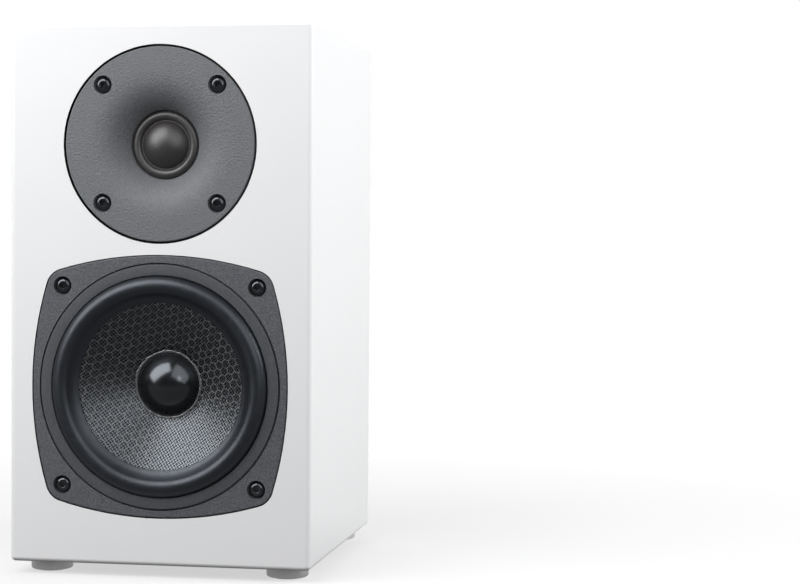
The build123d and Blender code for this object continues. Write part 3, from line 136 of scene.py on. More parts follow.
def makeStudio():
    for name, place, target, width, height, turn, watts in studio["boxes"]:
        light = bpy.data.lights.new(name, "AREA")
        light.shape = "RECTANGLE"
        light.size = width
        light.size_y = height
        light.energy = watts
        lamp = newObject(name, light)
        lamp.location = place
        aim = (Vector(target) - Vector(place)).to_track_quat("-Z", "Y").to_matrix()
        lamp.rotation_euler = (aim @ Matrix.Rotation(math.radians(turn), 3, "Z")).to_euler()
    world = bpy.data.worlds.new("studioWorld")
    bpy.context.scene.world = world
    world.use_nodes = True
    world.node_tree.nodes.clear()
    # the camera sees a white backdrop all round, polished things see it behind the object and the room before it
    direction = node(world, "SeparateXYZ", Vector=node(world, "TexCoord").outputs["Generated"]).outputs[1]
    camera, mirrored = rayKinds(world)
    seen = mathNode(world, "MAXIMUM", camera, product(world, mirrored, ramp(world, direction, -0.1, 0.3)))
    room, white = (node(world, "Background", Color=(1, 1, 1, 1), Strength=strength).outputs[0]
                   for strength in (studio["worldLight"], 1.0))
    mix = node(world, "MixShader", in0=seen, in1=room, in2=white).outputs[0]
    node(world, "OutputWorld", Surface=mix)


def rayKinds(owner):
    # Whether a ray comes from the camera, and whether from something polished or clear
    path = node(owner, "LightPath").outputs
    return path["Is Camera Ray"], mathNode(owner, "MAXIMUM", path["Is Glossy Ray"], path["Is Transmission Ray"])


def makeFloor():
    half = studio["floorSize"] / 2
    mesh = bpy.data.meshes.new("floor")
    mesh.from_pydata([(-half, -half, 0), (half, -half, 0), (half, half, 0), (-half, half, 0)], [], [(0, 1, 2, 3)])
    floor = newObject("floor", mesh)
    material = bpy.data.materials.new("paleFloor")
    material.use_nodes = True
    material.node_tree.nodes.clear()
    camera, mirrored = rayKinds(material)
    away = node(material, "VectorMath", {"operation": "LENGTH"}, in0=objectPoint(material)).outputs["Value"]
    behind = node(material, "SeparateXYZ", Vector=objectPoint(material)).outputs[1]
    mirrored = product(material, mirrored, ramp(material, behind, *studio["mirroredGlow"]))
    seen = product(material, camera, ramp(material, away, *studio["seenGlow"]))
    share = mathNode(material, "MAXIMUM", seen, mirrored)
    tone = ramp(material, camera, 0.0, 1.0, *studio["floorPale"])
    board = node(material, "BsdfDiffuse", Color=tone).outputs[0]
    glow = node(material, "Emission", Strength=1.0).outputs[0]
    mix = node(material, "MixShader", in0=share, in1=board, in2=glow).outputs[0]
    node(material, "OutputMaterial", Surface=mix)
    mesh.materials.append(material)


# surfaces worked out on grids
def unit(vector):
    return vector / np.linalg.norm(vector)


def roundedOutline(corners, steps=6, closed=True):
    # Outline through corners (across, along, rounding): each corner with a rounding turns on a tangent arc
    corners = np.array(corners, float)
    count = len(corners)
    pieces = []
    for i in range(count):
        here, size = corners[i, :2], corners[i, 2]
        if size <= 0 or (not closed and i in (0, count - 1)):
            pieces.append(here[None])
            continue
        back = unit(corners[i - 1, :2] - here)
        ahead = unit(corners[(i + 1) % count, :2] - here)
        half = math.acos(np.clip(back @ ahead, -1, 1)) / 2
        centre = here + unit(back + ahead) * size / math.sin(half)
        start = here + back * size / math.tan(half) - centre
        end = here + ahead * size / math.tan(half) - centre
        turn = math.atan2(start[0] * end[1] - start[1] * end[0], start @ end)
        angles = np.linspace(0, turn, steps + 1)[:, None]
        side = np.array([-start[1], start[0]])
        pieces.append(centre + np.cos(angles) * start + np.sin(angles) * side)
    return np.concatenate(pieces)


def arcPoints(centre, radius, fromDegrees, toDegrees, steps):
    # Points on a circle about centre, from one angle to the other
    angles = np.radians(np.linspace(fromDegrees, toDegrees, steps + 1))
    return np.stack([centre[0] + radius * np.cos(angles), centre[1] + radius * np.sin(angles)], 1)


def domePoints(baseRadius, base, height, steps):
    # Spherical cap from its crown on the axis to its edge: the sphere goes through both
    sphere = (baseRadius**2 + height**2) / (2 * height)
    angles = np.linspace(0, math.asin(baseRadius / sphere), steps + 1)
    return np.stack([sphere * np.sin(angles), base + height - sphere * (1 - np.cos(angles))], 1)


def putMesh(name, points, faces, sharp=38):
    # One mesh object from arrays; faces may mix quads and triangles, and end up facing outward
    points = np.asarray(points, float)
    faces = [np.asarray(group, int) for group in faces if len(group)]
    volume = 0.0
    for group in faces:
        a, b, *others = (points[column] for column in group.T)
        for c in others:
            volume += np.einsum("ij,ij->", a, np.cross(b, c))
            b = c
    if volume < 0:
        faces = [group[:, ::-1] for group in faces]
    mesh = bpy.data.meshes.new(name)
    mesh.from_pydata(points.tolist(), [], [row for group in faces for row in group.tolist()])
    mesh.shade_smooth()
    mesh.set_sharp_from_angle(angle=math.radians(sharp))
    mesh.update()
    return newObject(name, mesh)


def turnedSurface(outline, segments, closed, shape=None):
    # Points and faces of an outline turned about an axis, closed in triangles where it meets the axis;
    # shape(angle, radius, height) may change the radius and the height
    rows = len(outline)
    angle = np.arange(segments) * 2 * math.pi / segments
    radius = np.repeat(outline[:, :1], segments, 1)
    height = np.repeat(outline[:, 1:2], segments, 1)
    if shape is not None:
        radius, height = shape(angle[None], radius, height)
    index = np.arange(rows * segments).reshape(rows, segments)
    onAxis = outline[:, 0] < 1e-9
    index[onAxis] = index[onAxis, :1]
    points = np.stack([radius * np.cos(angle), height, radius * np.sin(angle)], 2).reshape(-1, 3)
    quads, triangles = [], []
    for i in range(rows if closed else rows - 1):
        j = (i + 1) % rows
        low, high = index[i], index[j]
        ring = np.stack([low, np.roll(low, -1), np.roll(high, -1), high], 1)
        if not (onAxis[i] or onAxis[j]):
            quads.append(ring)
        elif not onAxis[j]:
            triangles.append(ring[:, [0, 2, 3]])
        elif not onAxis[i]:
            triangles.append(ring[:, [0, 1, 2]])
    return points, quads + triangles


def repeatedPiece(name, points, faces, places, sharp=38):
    # One mesh that holds the same surface at each place, without the points that no face uses
    used = np.unique(np.concatenate([group.ravel() for group in faces]))
    renumber = np.zeros(len(points), int)
    renumber[used] = np.arange(len(used))
    points = points[used] * mm
    allPoints = np.concatenate([points + place for place in places])
    allFaces = [renumber[group] + n * len(points) for n in range(len(places)) for group in faces]
    return putMesh(name, allPoints, allFaces, sharp=sharp)


def turned(name, outline, at, segments=192, closed=True, shape=None, offsets=((0, 0),), sharp=38):
    # Piece turned about a front-to-back axis, once at each (across, up) offset from it in mm:
    # outline is (radius, height before the baffle's face)
    points, faces = turnedSurface(np.asarray(outline, float), segments, closed, shape)
    places = [(at.x + across * mm, faceY, at.z + up * mm) for across, up in offsets]
    return repeatedPiece(name, points * (1, -1, 1), faces, places, sharp)


def standing(name, outline, base, places, segments=96):
    # Upright turned piece at each (x, y) place in mm: outline is (radius, height above a base in metres)
    points, faces = turnedSurface(np.asarray(outline, float), segments, False)
    return repeatedPiece(name, points[:, [0, 2, 1]], faces, [(x * mm, y * mm, base) for x, y in places])


def cadCopy(node, name, sharp=32):
    # A merged, smooth-shaded copy of a CAD node's mesh
    mesh = frame["nodes"][node].data.copy()
    mesh.name = name
    bm = bmesh.new()
    bm.from_mesh(mesh)
    bmesh.ops.remove_doubles(bm, verts=bm.verts, dist=2e-6)
    bmesh.ops.triangulate(bm, faces=bm.faces)
    bm.to_mesh(mesh)
    bm.free()
    mesh.materials.clear()
    mesh.shade_smooth()
    flatFirstNormals(mesh, sharp)
    return newObject(name, mesh)


def readArray(items, label, kind, width=1):
    # One attribute of every mesh element, as an array
    values = np.zeros(len(items) * width, kind)
    items.foreach_get(label, values)
    return values.reshape(-1, width) if width > 1 else values


def flatFirstNormals(mesh, sharp):
    # Each corner's normal: the faces round its point that turn less than the sharp angle,
    # averaged by the square of the flat area that each is part of, so that long flats stay flat up to their edges
    corners = readArray(mesh.loops, "vertex_index", int)
    normals = readArray(mesh.polygons, "normal", float, 3)
    areas = readArray(mesh.polygons, "area", float)
    places = readArray(mesh.vertices, "co", float, 3)
    faceOf = np.repeat(np.arange(len(normals)), 3)
    offset = np.einsum("ij,ij->i", normals, places[corners[::3]])
    keys = np.round(np.column_stack([normals * 2000, offset * 2e5])).astype(int)
    group = np.unique(keys, axis=0, return_inverse=True)[1].ravel()
    reach = np.bincount(group, areas)[group]
    order = np.argsort(corners, kind="stable")
    shares = np.bincount(corners, minlength=len(places))
    starts = np.cumsum(shares) - shares
    repeats = shares[corners]
    first = np.repeat(np.arange(len(corners)), repeats)
    step = np.arange(len(first)) - np.repeat(np.cumsum(repeats) - repeats, repeats)
    second = order[starts[corners[first]] + step]
    here, there = normals[faceOf[first]], normals[faceOf[second]]
    near = np.einsum("ij,ij->i", here, there) > math.cos(math.radians(sharp))
    weight = near * reach[faceOf[second]] ** 2
    total = np.stack([np.bincount(first, weight * there[:, k], len(corners)) for k in range(3)], 1)
    length = np.linalg.norm(total, axis=1)[:, None]
    mesh.normals_split_custom_set((total / np.maximum(length, 1e-30)).tolist())


def standsFor(piece, node, finish, rides=True):
    # The piece takes a CAD node's place, its body and its material slot; one that is not set to ride is left without
    # a body
    piece.data.materials.clear()
    piece.data.materials.append(bpy.data.materials[finish])
    if rides:
        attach(piece, frame["nodes"][node]["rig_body"])
    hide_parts(node)


def dress(node, finish):
    # A smooth copy of a CAD node takes its place, and has its name in camelCase
    first, *others = node.split("_")
    standsFor(cadCopy(node, first + "".join(word.title() for word in others)), node, finish)


def paint(node, finish):
    # A CAD node whose shape is right keeps its mesh and gets a better material
    materials = frame["nodes"][node].data.materials
    material = bpy.data.materials[finish]
    for place in range(len(materials)):
        materials[place] = material
    if not materials:
        materials.append(material)


def flex(piece, share):
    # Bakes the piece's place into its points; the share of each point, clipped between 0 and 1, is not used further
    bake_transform(piece)
    share = np.clip(share, 0, 1)


def flexBetween(piece, at, innerRadius, outerRadius):
    # Share of each point of a ring, from 1 at its inner radius to 0 at its outer one, both in mm, passed to flex
    points = readArray(piece.data.vertices, "co", float, 3)
    radius = np.hypot(points[:, 0] - at.x, points[:, 2] - at.z) / mm
    flex(piece, (outerRadius - radius) / (outerRadius - innerRadius))


# materials: sizes in metres
coolSheen = (0.84, 0.91, 1.0)  # tint of the sheen on the black finishes


def newMaterial(name, **values):
    # A material and its shader, whose sockets are given by name with spaces left out
    material = bpy.data.materials.new(name)
    material.use_nodes = True
    shader = material.node_tree.nodes["Principled BSDF"]
    words = {"color": "BaseColor", "specular": "SpecularIORLevel"}
    sockets = {socket.name.replace(" ", ""): socket for socket in shader.inputs}
    for key, value in values.items():
        sockets[words.get(key, key)].default_value = value + (1,) if isinstance(value, tuple) else value
    return material, shader


def node(material, kind, options=None, **sockets):
    # Adds a shader node; sockets are given by name with spaces left out, or as in0, in1 by place
    made = material.node_tree.nodes.new("ShaderNode" + kind)
    for key, value in (options or {}).items():
        setattr(made, key, value)
    for key, value in sockets.items():
        if key.startswith("in") and key[2:].isdigit():
            socket = made.inputs[int(key[2:])]
        else:
            socket = next(s for s in made.inputs if s.name.replace(" ", "") == key)
        if isinstance(value, bpy.types.NodeSocket):
            material.node_tree.links.new(value, socket)
        else:
            socket.default_value = value
    return made


def mathNode(material, operation, a, b=0.0, c=0.0):
    return node(material, "Math", {"operation": operation}, in0=a, in1=b, in2=c).outputs[0]


def product(material, a, b):
    return mathNode(material, "MULTIPLY", a, b)


def objectPoint(material):
    return node(material, "TexCoord").outputs["Object"]


def centredPoint(material, centre):
    # Object coordinates counted from a piece's centre
    shift = tuple(-c for c in centre)
    point = node(material, "Mapping", {"vector_type": "POINT"}, Vector=objectPoint(material), Location=shift)
    return point.outputs[0]


def noise(material, size, detail=2.0, rough=0.5, point=None):
    # Noise whose lumps are about size metres wide
    vector = point or objectPoint(material)
    return node(material, "TexNoise", Vector=vector, Scale=1 / size, Detail=detail, Roughness=rough).outputs["Fac"]


def bump(material, shader, height, depth, strength=1.0):
    # Raises the surface by height x depth metres
    made = node(material, "Bump", Height=height, Distance=depth, Strength=strength)
    setInput(material, shader, "Normal", made.outputs[0])


def blendColors(material, amount, first, second):
    # The first color where the amount is 0, the second where it is 1
    first, second = (color + (1,) if isinstance(color, tuple) else color for color in (first, second))
    return node(material, "Mix", {"data_type": "RGBA"}, in0=amount, in6=first, in7=second).outputs[2]


def ramp(material, value, low, high, toLow=0.0, toHigh=1.0):
    # Runs from toLow to toHigh as the value goes from low to high, and stays level outside them
    ends = {"FromMin": low, "FromMax": high, "ToMin": toLow, "ToMax": toHigh}
    return node(material, "MapRange", {"clamp": True}, Value=value, **ends).outputs[0]


def setInput(material, shader, label, value):
    material.node_tree.links.new(value, shader.inputs[label])


def roughnessBy(material, shader, pattern, low, high):
    # Roughness from low to high with a pattern
    setInput(material, shader, "Roughness", ramp(material, pattern, 0.3, 0.7, low, high))


makeStudio()
makeFloor()
bpy.context.scene.view_settings.view_transform = "Standard"
print("camera, soft boxes and floor set")

lacquerLook = {
    "white": (0.86, 0.865, 0.875),
    "rawBoard": (0.46, 0.33, 0.20),
    # painted shade: black for the walls of the baffle's rebates and holes, in place of the shadow in the gaps round
    # the drivers
    "stain": (0.006, 0.006, 0.006),
    "peel": 0.0018,  # width of the orange peel's lumps
    "peelDepth": 0.00001,
    "roughness": (0.34, 0.42),
    "boardRougher": 0.35,
    "margin": 0.00005,  # how far a painted region reaches past the face that it ends on
    "stainFrom": 0.006,  # how far inside the baffle's edges the painted black shade may lie
}


def lacquer(name, rebates):
    # Sprayed white outside, raw board on the faces round the inner volume, and painted shade in black on the walls
    # of the baffle's rebates and holes
    spec = lacquerLook
    margin, stainFrom = spec["margin"], spec["stainFrom"]
    material, shader = newMaterial(name, CoatWeight=0.15, CoatRoughness=0.2)
    bump(material, shader, noise(material, spec["peel"], 1.5), spec["peelDepth"], 0.35)
    low = Vector((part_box("left_side_panel")[1].x, baffleHigh.y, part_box("bottom_panel")[1].z))
    high = Vector((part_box("right_side_panel")[0].x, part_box("rear_panel")[0].y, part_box("top_panel")[0].z))
    inner = withinBox(material, (low + high) / 2, (high - low) / 2 + Vector((margin,) * 3))
    color = blendColors(material, inner, spec["white"], spec["rawBoard"])
    if rebates:
        # the walls of the drivers' rebates and holes are painted black as painted shade, in place of the shadow in
        # the gaps round the drivers, from just under the face to the back
        half = (baffleHigh - baffleLow) / 2 - Vector((stainFrom, margin, stainFrom))
        shadedWalls = withinBox(material, (baffleLow + baffleHigh) / 2, half)
        color = blendColors(material, shadedWalls, color, spec["stain"])
    setInput(material, shader, "Base Color", color)
    smooth = ramp(material, noise(material, 0.02, 3), 0.3, 0.7, *spec["roughness"])
    rough = mathNode(material, "MULTIPLY_ADD", inner, spec["boardRougher"], smooth)
    setInput(material, shader, "Roughness", rough)
    return material


def withinBox(material, centre, half):
    # 1 inside a box given by its centre and its half sizes, 0 outside it
    point = node(material, "SeparateXYZ", Vector=centredPoint(material, centre)).outputs
    shares = [mathNode(material, "LESS_THAN", mathNode(material, "ABSOLUTE", point[k]), half[k]) for k in range(3)]
    return product(material, shares[0], product(material, shares[1], shares[2]))


def mouldedTexture(name, dark, light, lump, depth, roughness):
    # Spark-eroded plastic: soft pebbles with fine grit between them
    material, shader = newMaterial(name, specular=0.5)
    pebbles = noise(material, lump, 2.5, 0.55)
    grit = noise(material, lump * 0.35, 2.0, 0.6)
    relief = mathNode(material, "MULTIPLY_ADD", grit, 0.35, pebbles)
    bump(material, shader, relief, depth)
    tone = ramp(material, pebbles, 0.35, 0.65)
    setInput(material, shader, "Base Color", blendColors(material, tone, dark, light))
    roughnessBy(material, shader, grit, *roughness)
    return material


def smoothPlastic(name, color, roughness, grain=0.0004, depth=0.000008):
    material, shader = newMaterial(name, color=color, specular=0.5)
    bump(material, shader, noise(material, grain, 2.0), depth)
    roughnessBy(material, shader, noise(material, 0.006, 3.0), roughness - 0.03, roughness + 0.04)
    return material


def metal(name, color, roughness):
    # Turned or rolled metal, with faint marks drawn out level
    material, shader = newMaterial(name, color=color, Metallic=1.0)
    lines = node(material, "Mapping", Vector=objectPoint(material), Scale=(1.0, 1.0, 14.0)).outputs[0]
    marks = noise(material, 0.0018, 2.0, 0.6, point=lines)
    bump(material, shader, marks, 0.000004)
    roughnessBy(material, shader, marks, roughness - 0.05, roughness + 0.07)
    return material


def waves(material, coordinate, length):
    # Sine waves of the given length along one coordinate
    return mathNode(material, "SINE", product(material, coordinate, 2 * math.pi / length))


def clothMaterial(name, dark, light, pitch, depth, roughness, sheen=0.3, specular=0.4):
    # Fine close weave seen from its front: two sets of threads crossing
    material, shader = newMaterial(name, Roughness=roughness, SheenWeight=sheen, specular=specular)
    point = node(material, "SeparateXYZ", Vector=objectPoint(material)).outputs
    threads = product(material, waves(material, point[0], pitch), waves(material, point[2], pitch))
    fuzz = noise(material, pitch * 0.8, 2.0)
    bump(material, shader, mathNode(material, "MULTIPLY_ADD", threads, 0.4, fuzz), depth)
    setInput(material, shader, "Base Color", blendColors(material, ramp(material, fuzz, 0.35, 0.65), dark, light))
    return material


coneWeave = {
    "pitch": 0.00140,  # from thread to thread
    "weaveTurn": 38.0,  # degrees from upright
    "cell": 0.0043,  # across a honeycomb cell
    "cellTurn": 14.0,
    "lineWidth": 0.00036,
    "thread": (0.006, 0.00625, 0.007),
    "gap": (0.0008, 0.0008, 0.001),
    "line": (0.15, 0.15, 0.148),
    "threadDepth": 0.00009,
    "threadShine": (0.50, 0.85),  # heights of a thread between which its shine rises from nothing
    "lineShine": 0.7,
    "patch": 0.004,  # size of the patches where the honeycomb fades
    "faintest": 0.35,
}


def wovenCone(name):
    # A thin open weave over a honeycomb: cell walls show as pale lines through the gaps of the weave
    spec = coneWeave
    material, shader = newMaterial(name, Roughness=0.35, IOR=1.74, CoatWeight=0.12, CoatRoughness=0.45,
                                   SpecularTint=coolSheen)
    centre = centredPoint(material, (wooferAt.x, 0, wooferAt.z))
    waveX, waveZ = (waves(material, line, 2 * spec["pitch"])
                    for line in turnedPair(material, centre, spec["weaveTurn"]))
    over = mathNode(material, "GREATER_THAN", product(material, waveX, waveZ), 0.0)
    # where the upright thread is on top its height counts, elsewhere the level one's
    upright, level = (mathNode(material, "ABSOLUTE", wave) for wave in (waveX, waveZ))
    threads = node(material, "Mix", {"data_type": "FLOAT"}, in0=over, in2=level, in3=upright).outputs[0]
    faded = ramp(material, noise(material, spec["patch"], 1.0), 0.3, 0.6, spec["faintest"], 1.0)
    wall = product(material, honeycombLines(material, centre, spec), faded)
    cloth = blendColors(material, ramp(material, threads, 0.35, 0.95), spec["gap"], spec["thread"])
    setInput(material, shader, "Base Color", blendColors(material, wall, cloth, spec["line"]))
    # the gaps between the threads don't shine, and the cell walls lie under the weave
    threadShine = ramp(material, threads, *spec["threadShine"])
    wallShine = ramp(material, wall, 0.0, 1.0, 1.0, spec["lineShine"])
    setInput(material, shader, "Specular IOR Level", product(material, threadShine, wallShine))
    bump(material, shader, threads, spec["threadDepth"])
    return material


def turnedPair(material, point, degrees):
    # The two coordinates in the plane of the baffle, turned about the front axis
    turn = (0, math.radians(degrees), 0)
    made = node(material, "Mapping", {"vector_type": "POINT"}, Vector=point, Rotation=turn).outputs[0]
    split = node(material, "SeparateXYZ", Vector=made).outputs
    return split[0], split[2]


def honeycombLines(material, centre, spec):
    # Two rectangular grids, one shifted by half a step, hold the hexagons' centres: the nearer centre wins,
    # and the distance to the cell's edge is a half less the largest of the three projections
    x, z = turnedPair(material, centre, spec["cellTurn"])
    tall = math.sqrt(3) / 2
    reaches = []
    for shift in (0.0, 1.0):
        away = []
        for line, half in ((x, 0.5), (z, tall)):
            line = mathNode(material, "ADD", mathNode(material, "DIVIDE", line, spec["cell"]), shift * half)
            away.append(mathNode(material, "ABSOLUTE", mathNode(material, "WRAP", line, half, -half)))
        slanted = mathNode(material, "MULTIPLY_ADD", away[1], tall, product(material, away[0], 0.5))
        reaches.append(mathNode(material, "MAXIMUM", away[0], slanted))
    nearest = mathNode(material, "MINIMUM", *reaches)
    edge = mathNode(material, "SUBTRACT", 0.5, nearest)
    half = spec["lineWidth"] / spec["cell"] / 2
    return ramp(material, edge, half * 0.5, half * 1.8, 1.0, 0.0)


def rubberMaterial(name, color, roughness):
    material, shader = newMaterial(name, color=color, specular=0.8, SpecularTint=coolSheen)
    bump(material, shader, noise(material, 0.0003, 2.0), 0.000006)
    roughnessBy(material, shader, noise(material, 0.004, 3.0), roughness - 0.03, roughness + 0.05)
    return material


def windingMaterial(name, axis, pitch):
    # Enamelled copper turns, seen as close ribs along the coil's axis
    material, shader = newMaterial(name, color=(0.72, 0.30, 0.12), Metallic=1.0, Roughness=0.28)
    point = node(material, "SeparateXYZ", Vector=objectPoint(material)).outputs
    bump(material, shader, waves(material, point[axis], pitch), pitch * 0.15)
    return material


def glossBlack(name, tone, roughness):
    # Black lacquer or blackened steel
    material, shader = newMaterial(name, color=(tone, tone, tone * 1.1), specular=1.0, SpecularTint=coolSheen)
    roughnessBy(material, shader, noise(material, 0.003, 3.0), roughness - 0.03, roughness + 0.04)
    return material


def glueMaterial(name):
    # Clear glue laid by hand: glossy, with low lumps
    material, shader = newMaterial(name, color=(0.10, 0.104, 0.108), specular=1.0, CoatWeight=0.5,
                                   CoatRoughness=0.04)
    lumps = noise(material, 0.0011, 2.0)
    bump(material, shader, lumps, 0.00035)
    roughnessBy(material, shader, lumps, 0.05, 0.15)
    return material


# every finish, under the function that makes it: its name and what the function takes
finishes = {
    lacquer: {"whiteLacquer": (False,), "whiteBaffle": (True,)},
    mouldedTexture: {
        "mouldedGrey": ((0.128, 0.134, 0.144), (0.156, 0.164, 0.176), 0.0010, 0.00050, (0.34, 0.46)),
        "frameGrey": ((0.056, 0.060, 0.067), (0.130, 0.137, 0.151), 0.0007, 0.00022, (0.36, 0.48)),
        "trimGrey": ((0.054, 0.058, 0.065), (0.086, 0.091, 0.100), 0.0005, 0.00016, (0.34, 0.48)),
    },
    rubberMaterial: {
        "rollRubber": ((0.005, 0.006, 0.0085), 0.40),
        "footRubber": ((0.02, 0.02, 0.02), 0.6),
        "foamRubber": ((0.03, 0.03, 0.03), 0.85),
    },
    glossBlack: {"screwBlack": (0.011, 0.15), "capBlack": (0.007, 0.19)},
    glueMaterial: {"glueClear": ()},
    clothMaterial: {
        "domeCloth": ((0.014, 0.012, 0.0115), (0.022, 0.0195, 0.019), 0.00035, 0.000012, 0.43, 0.05, 1.0),
        "spiderCloth": ((0.55, 0.42, 0.20), (0.66, 0.52, 0.28), 0.0006, 0.00006, 0.8),
    },
    wovenCone: {"wovenCone": ()},
    metal: {
        "footMetal": ((0.62, 0.62, 0.62), 0.32),
        "steelZinc": ((0.62, 0.62, 0.61), 0.32),
        "goldBrass": ((0.86, 0.62, 0.28), 0.2),
        "formerFoil": ((0.75, 0.75, 0.76), 0.3),
        "braidCopper": ((0.72, 0.42, 0.22), 0.35),
    },
    smoothPlastic: {
        "blackSatin": ((0.022, 0.022, 0.024), 0.42),
        "knobRed": ((0.42, 0.012, 0.012), 0.2),
        "knobBlack": ((0.014, 0.014, 0.015), 0.2),
        "rawBoard": (lacquerLook["rawBoard"], 0.7, 0.0012, 0.00008),
        "foamGrey": ((0.09, 0.09, 0.095), 0.95, 0.003, 0.0008),
        "magnetBlack": ((0.05, 0.05, 0.052), 0.6, 0.0008, 0.00003),
        "formerFilm": ((0.55, 0.30, 0.07), 0.35),
        "stripBrown": ((0.24, 0.12, 0.05), 0.55),
        "boardGreen": ((0.02, 0.13, 0.06), 0.35),
        "nylonWhite": ((0.74, 0.74, 0.70), 0.45),
        "capacitorBlue": ((0.03, 0.05, 0.20), 0.25),
        "cementWhite": ((0.72, 0.71, 0.66), 0.8, 0.0006, 0.00004),
        "sleeveRed": ((0.40, 0.015, 0.015), 0.4),
        "sleeveBlack": ((0.02, 0.02, 0.02), 0.4),
    },
    windingMaterial: {"copperCoil": (1, 0.0004), "copperChoke": (2, 0.0011)},
}
for maker, looks in finishes.items():
    for title, look in looks.items():
        maker(title, *look)
print("materials made")

# cabinet
dress("front_baffle", "whiteBaffle")
for panel in ("top_panel", "bottom_panel", "left_side_panel", "right_side_panel", "rear_panel"):
    dress(panel, "whiteLacquer")
print("cabinet dressed")

# feet, in mm
footShape = {
    "radius": 11.25,
    "height": 5.6,
    "edge": 1.2,  # rounding at the floor
    "padRadius": 8.5,
    "padHeight": 1.5,
    "padGap": 0.05,
    "recess": 1.0,
}


def makeFeet():
    spec = footShape
    low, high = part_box("feet")
    radius, height, recess = spec["radius"], spec["height"], spec["recess"]
    pad, padHeight = spec["padRadius"], spec["padHeight"]
    hollow = pad + spec["padGap"]
    reach = (high.x - low.x) / mm / 2 - radius
    places = [(x, y) for x in (-reach, reach) for y in (low.y / mm + radius, high.y / mm - radius)]
    foot = roundedOutline([(0, height, 0), (radius, height, 0.15), (radius, 0, spec["edge"]), (hollow, 0, 0.2),
                           (hollow, recess, 0), (0, recess, 0)], 8, closed=False)
    standsFor(standing("turnedFeet", foot, low.z, places), "feet", "footMetal")
    rubber = roundedOutline([(0, padHeight, 0), (pad, padHeight, 0.1), (pad, 0, 0.35), (0, 0, 0)], 6, closed=False)
    standsFor(standing("footPads", rubber, 0, places), "foot_pads", "footRubber")


makeFeet()
dress("foot_spacers", "footRubber")
print("feet dressed")

# tweeter: mm, with heights before the baffle's face
tweeterShape = {
    "plateRadius": 51.4,
    "plateThickness": 4.5,
    "plateEdge": 0.6,
    "plateBackEdge": 0.3,
    "throatRadius": 18.4,
    "throatDepth": 11.0,
    "mouthRadius": 43.0,
    "mouthCurve": 3.2,  # how quickly the waveguide flattens towards its mouth
    "bossRadius": 37.0,
    "bossBack": -14.0,
    "seatRadius": 23.8,
    "seatLip": 0.1,
    "flangeTop": -12.4,
    "screwCircle": 44.0,
    "pocketRadius": 4.9,
    "pocketDepth": 2.6,
    "pocketEdge": 0.12,
    "pocketFloorEdge": 0.3,
    "holeRadius": 2.1,
    "domeRadius": 12.6,
    "domeHeight": 6.4,
    "domeRim": 1.2,
    "domeWall": 0.15,
    "cloth": 0.4,
    "rollGap": 0.36,  # between the dome's edge and the roll's inner edge
    "rollHalfWidth": 2.4,
    "rollHeight": 2.0,
    "rollCentre": 15.65,
    "clampRadius": 23.5,
}

# the plate's grid: columns round it, rows of the waveguide, and the block of rows and columns given up to each screw
plateGrid = {"columns": 256, "guideRows": 30, "blockRows": 12, "blockHalf": 7, "blockReach": 6.6}


def makeFaceplate():
    # Front, rim, back and boss in one turned outline
    spec, grid = tweeterShape, plateGrid
    throat, mouth, rim, edge = (spec[key] for key in ("throatRadius", "mouthRadius", "plateRadius", "plateEdge"))
    back, backEdge = -spec["plateThickness"], spec["plateBackEdge"]
    blockIn, blockOut = spec["screwCircle"] - grid["blockReach"], spec["screwCircle"] + grid["blockReach"]
    block = np.linspace(blockIn, blockOut, grid["blockRows"] + 1)
    front = np.concatenate([np.linspace(throat, blockIn, grid["guideRows"]), block[1:]])
    share = np.clip((front - throat) / (mouth - throat), 0, 1)
    height = -spec["throatDepth"] * (1 - share) ** spec["mouthCurve"]
    rimArc = arcPoints((rim - edge, -edge), edge, 90, 0, 6)
    outline = np.concatenate([
        np.stack([front, height], 1), rimArc, [(rim, back + backEdge), (rim - backEdge, back)],
        np.stack([block[::-1], np.full(len(block), back)], 1),
        [(spec["bossRadius"], back), (spec["bossRadius"], spec["bossBack"]), (spec["seatRadius"], spec["bossBack"]),
         (spec["seatRadius"], spec["flangeTop"]), (throat + spec["seatLip"], spec["flangeTop"])],
    ])
    piece = pocketedPlate("tweeterFaceplate", outline, len(front) - len(block), len(front) + len(rimArc) + 2)
    standsFor(piece, "tweeter_faceplate", "mouldedGrey")


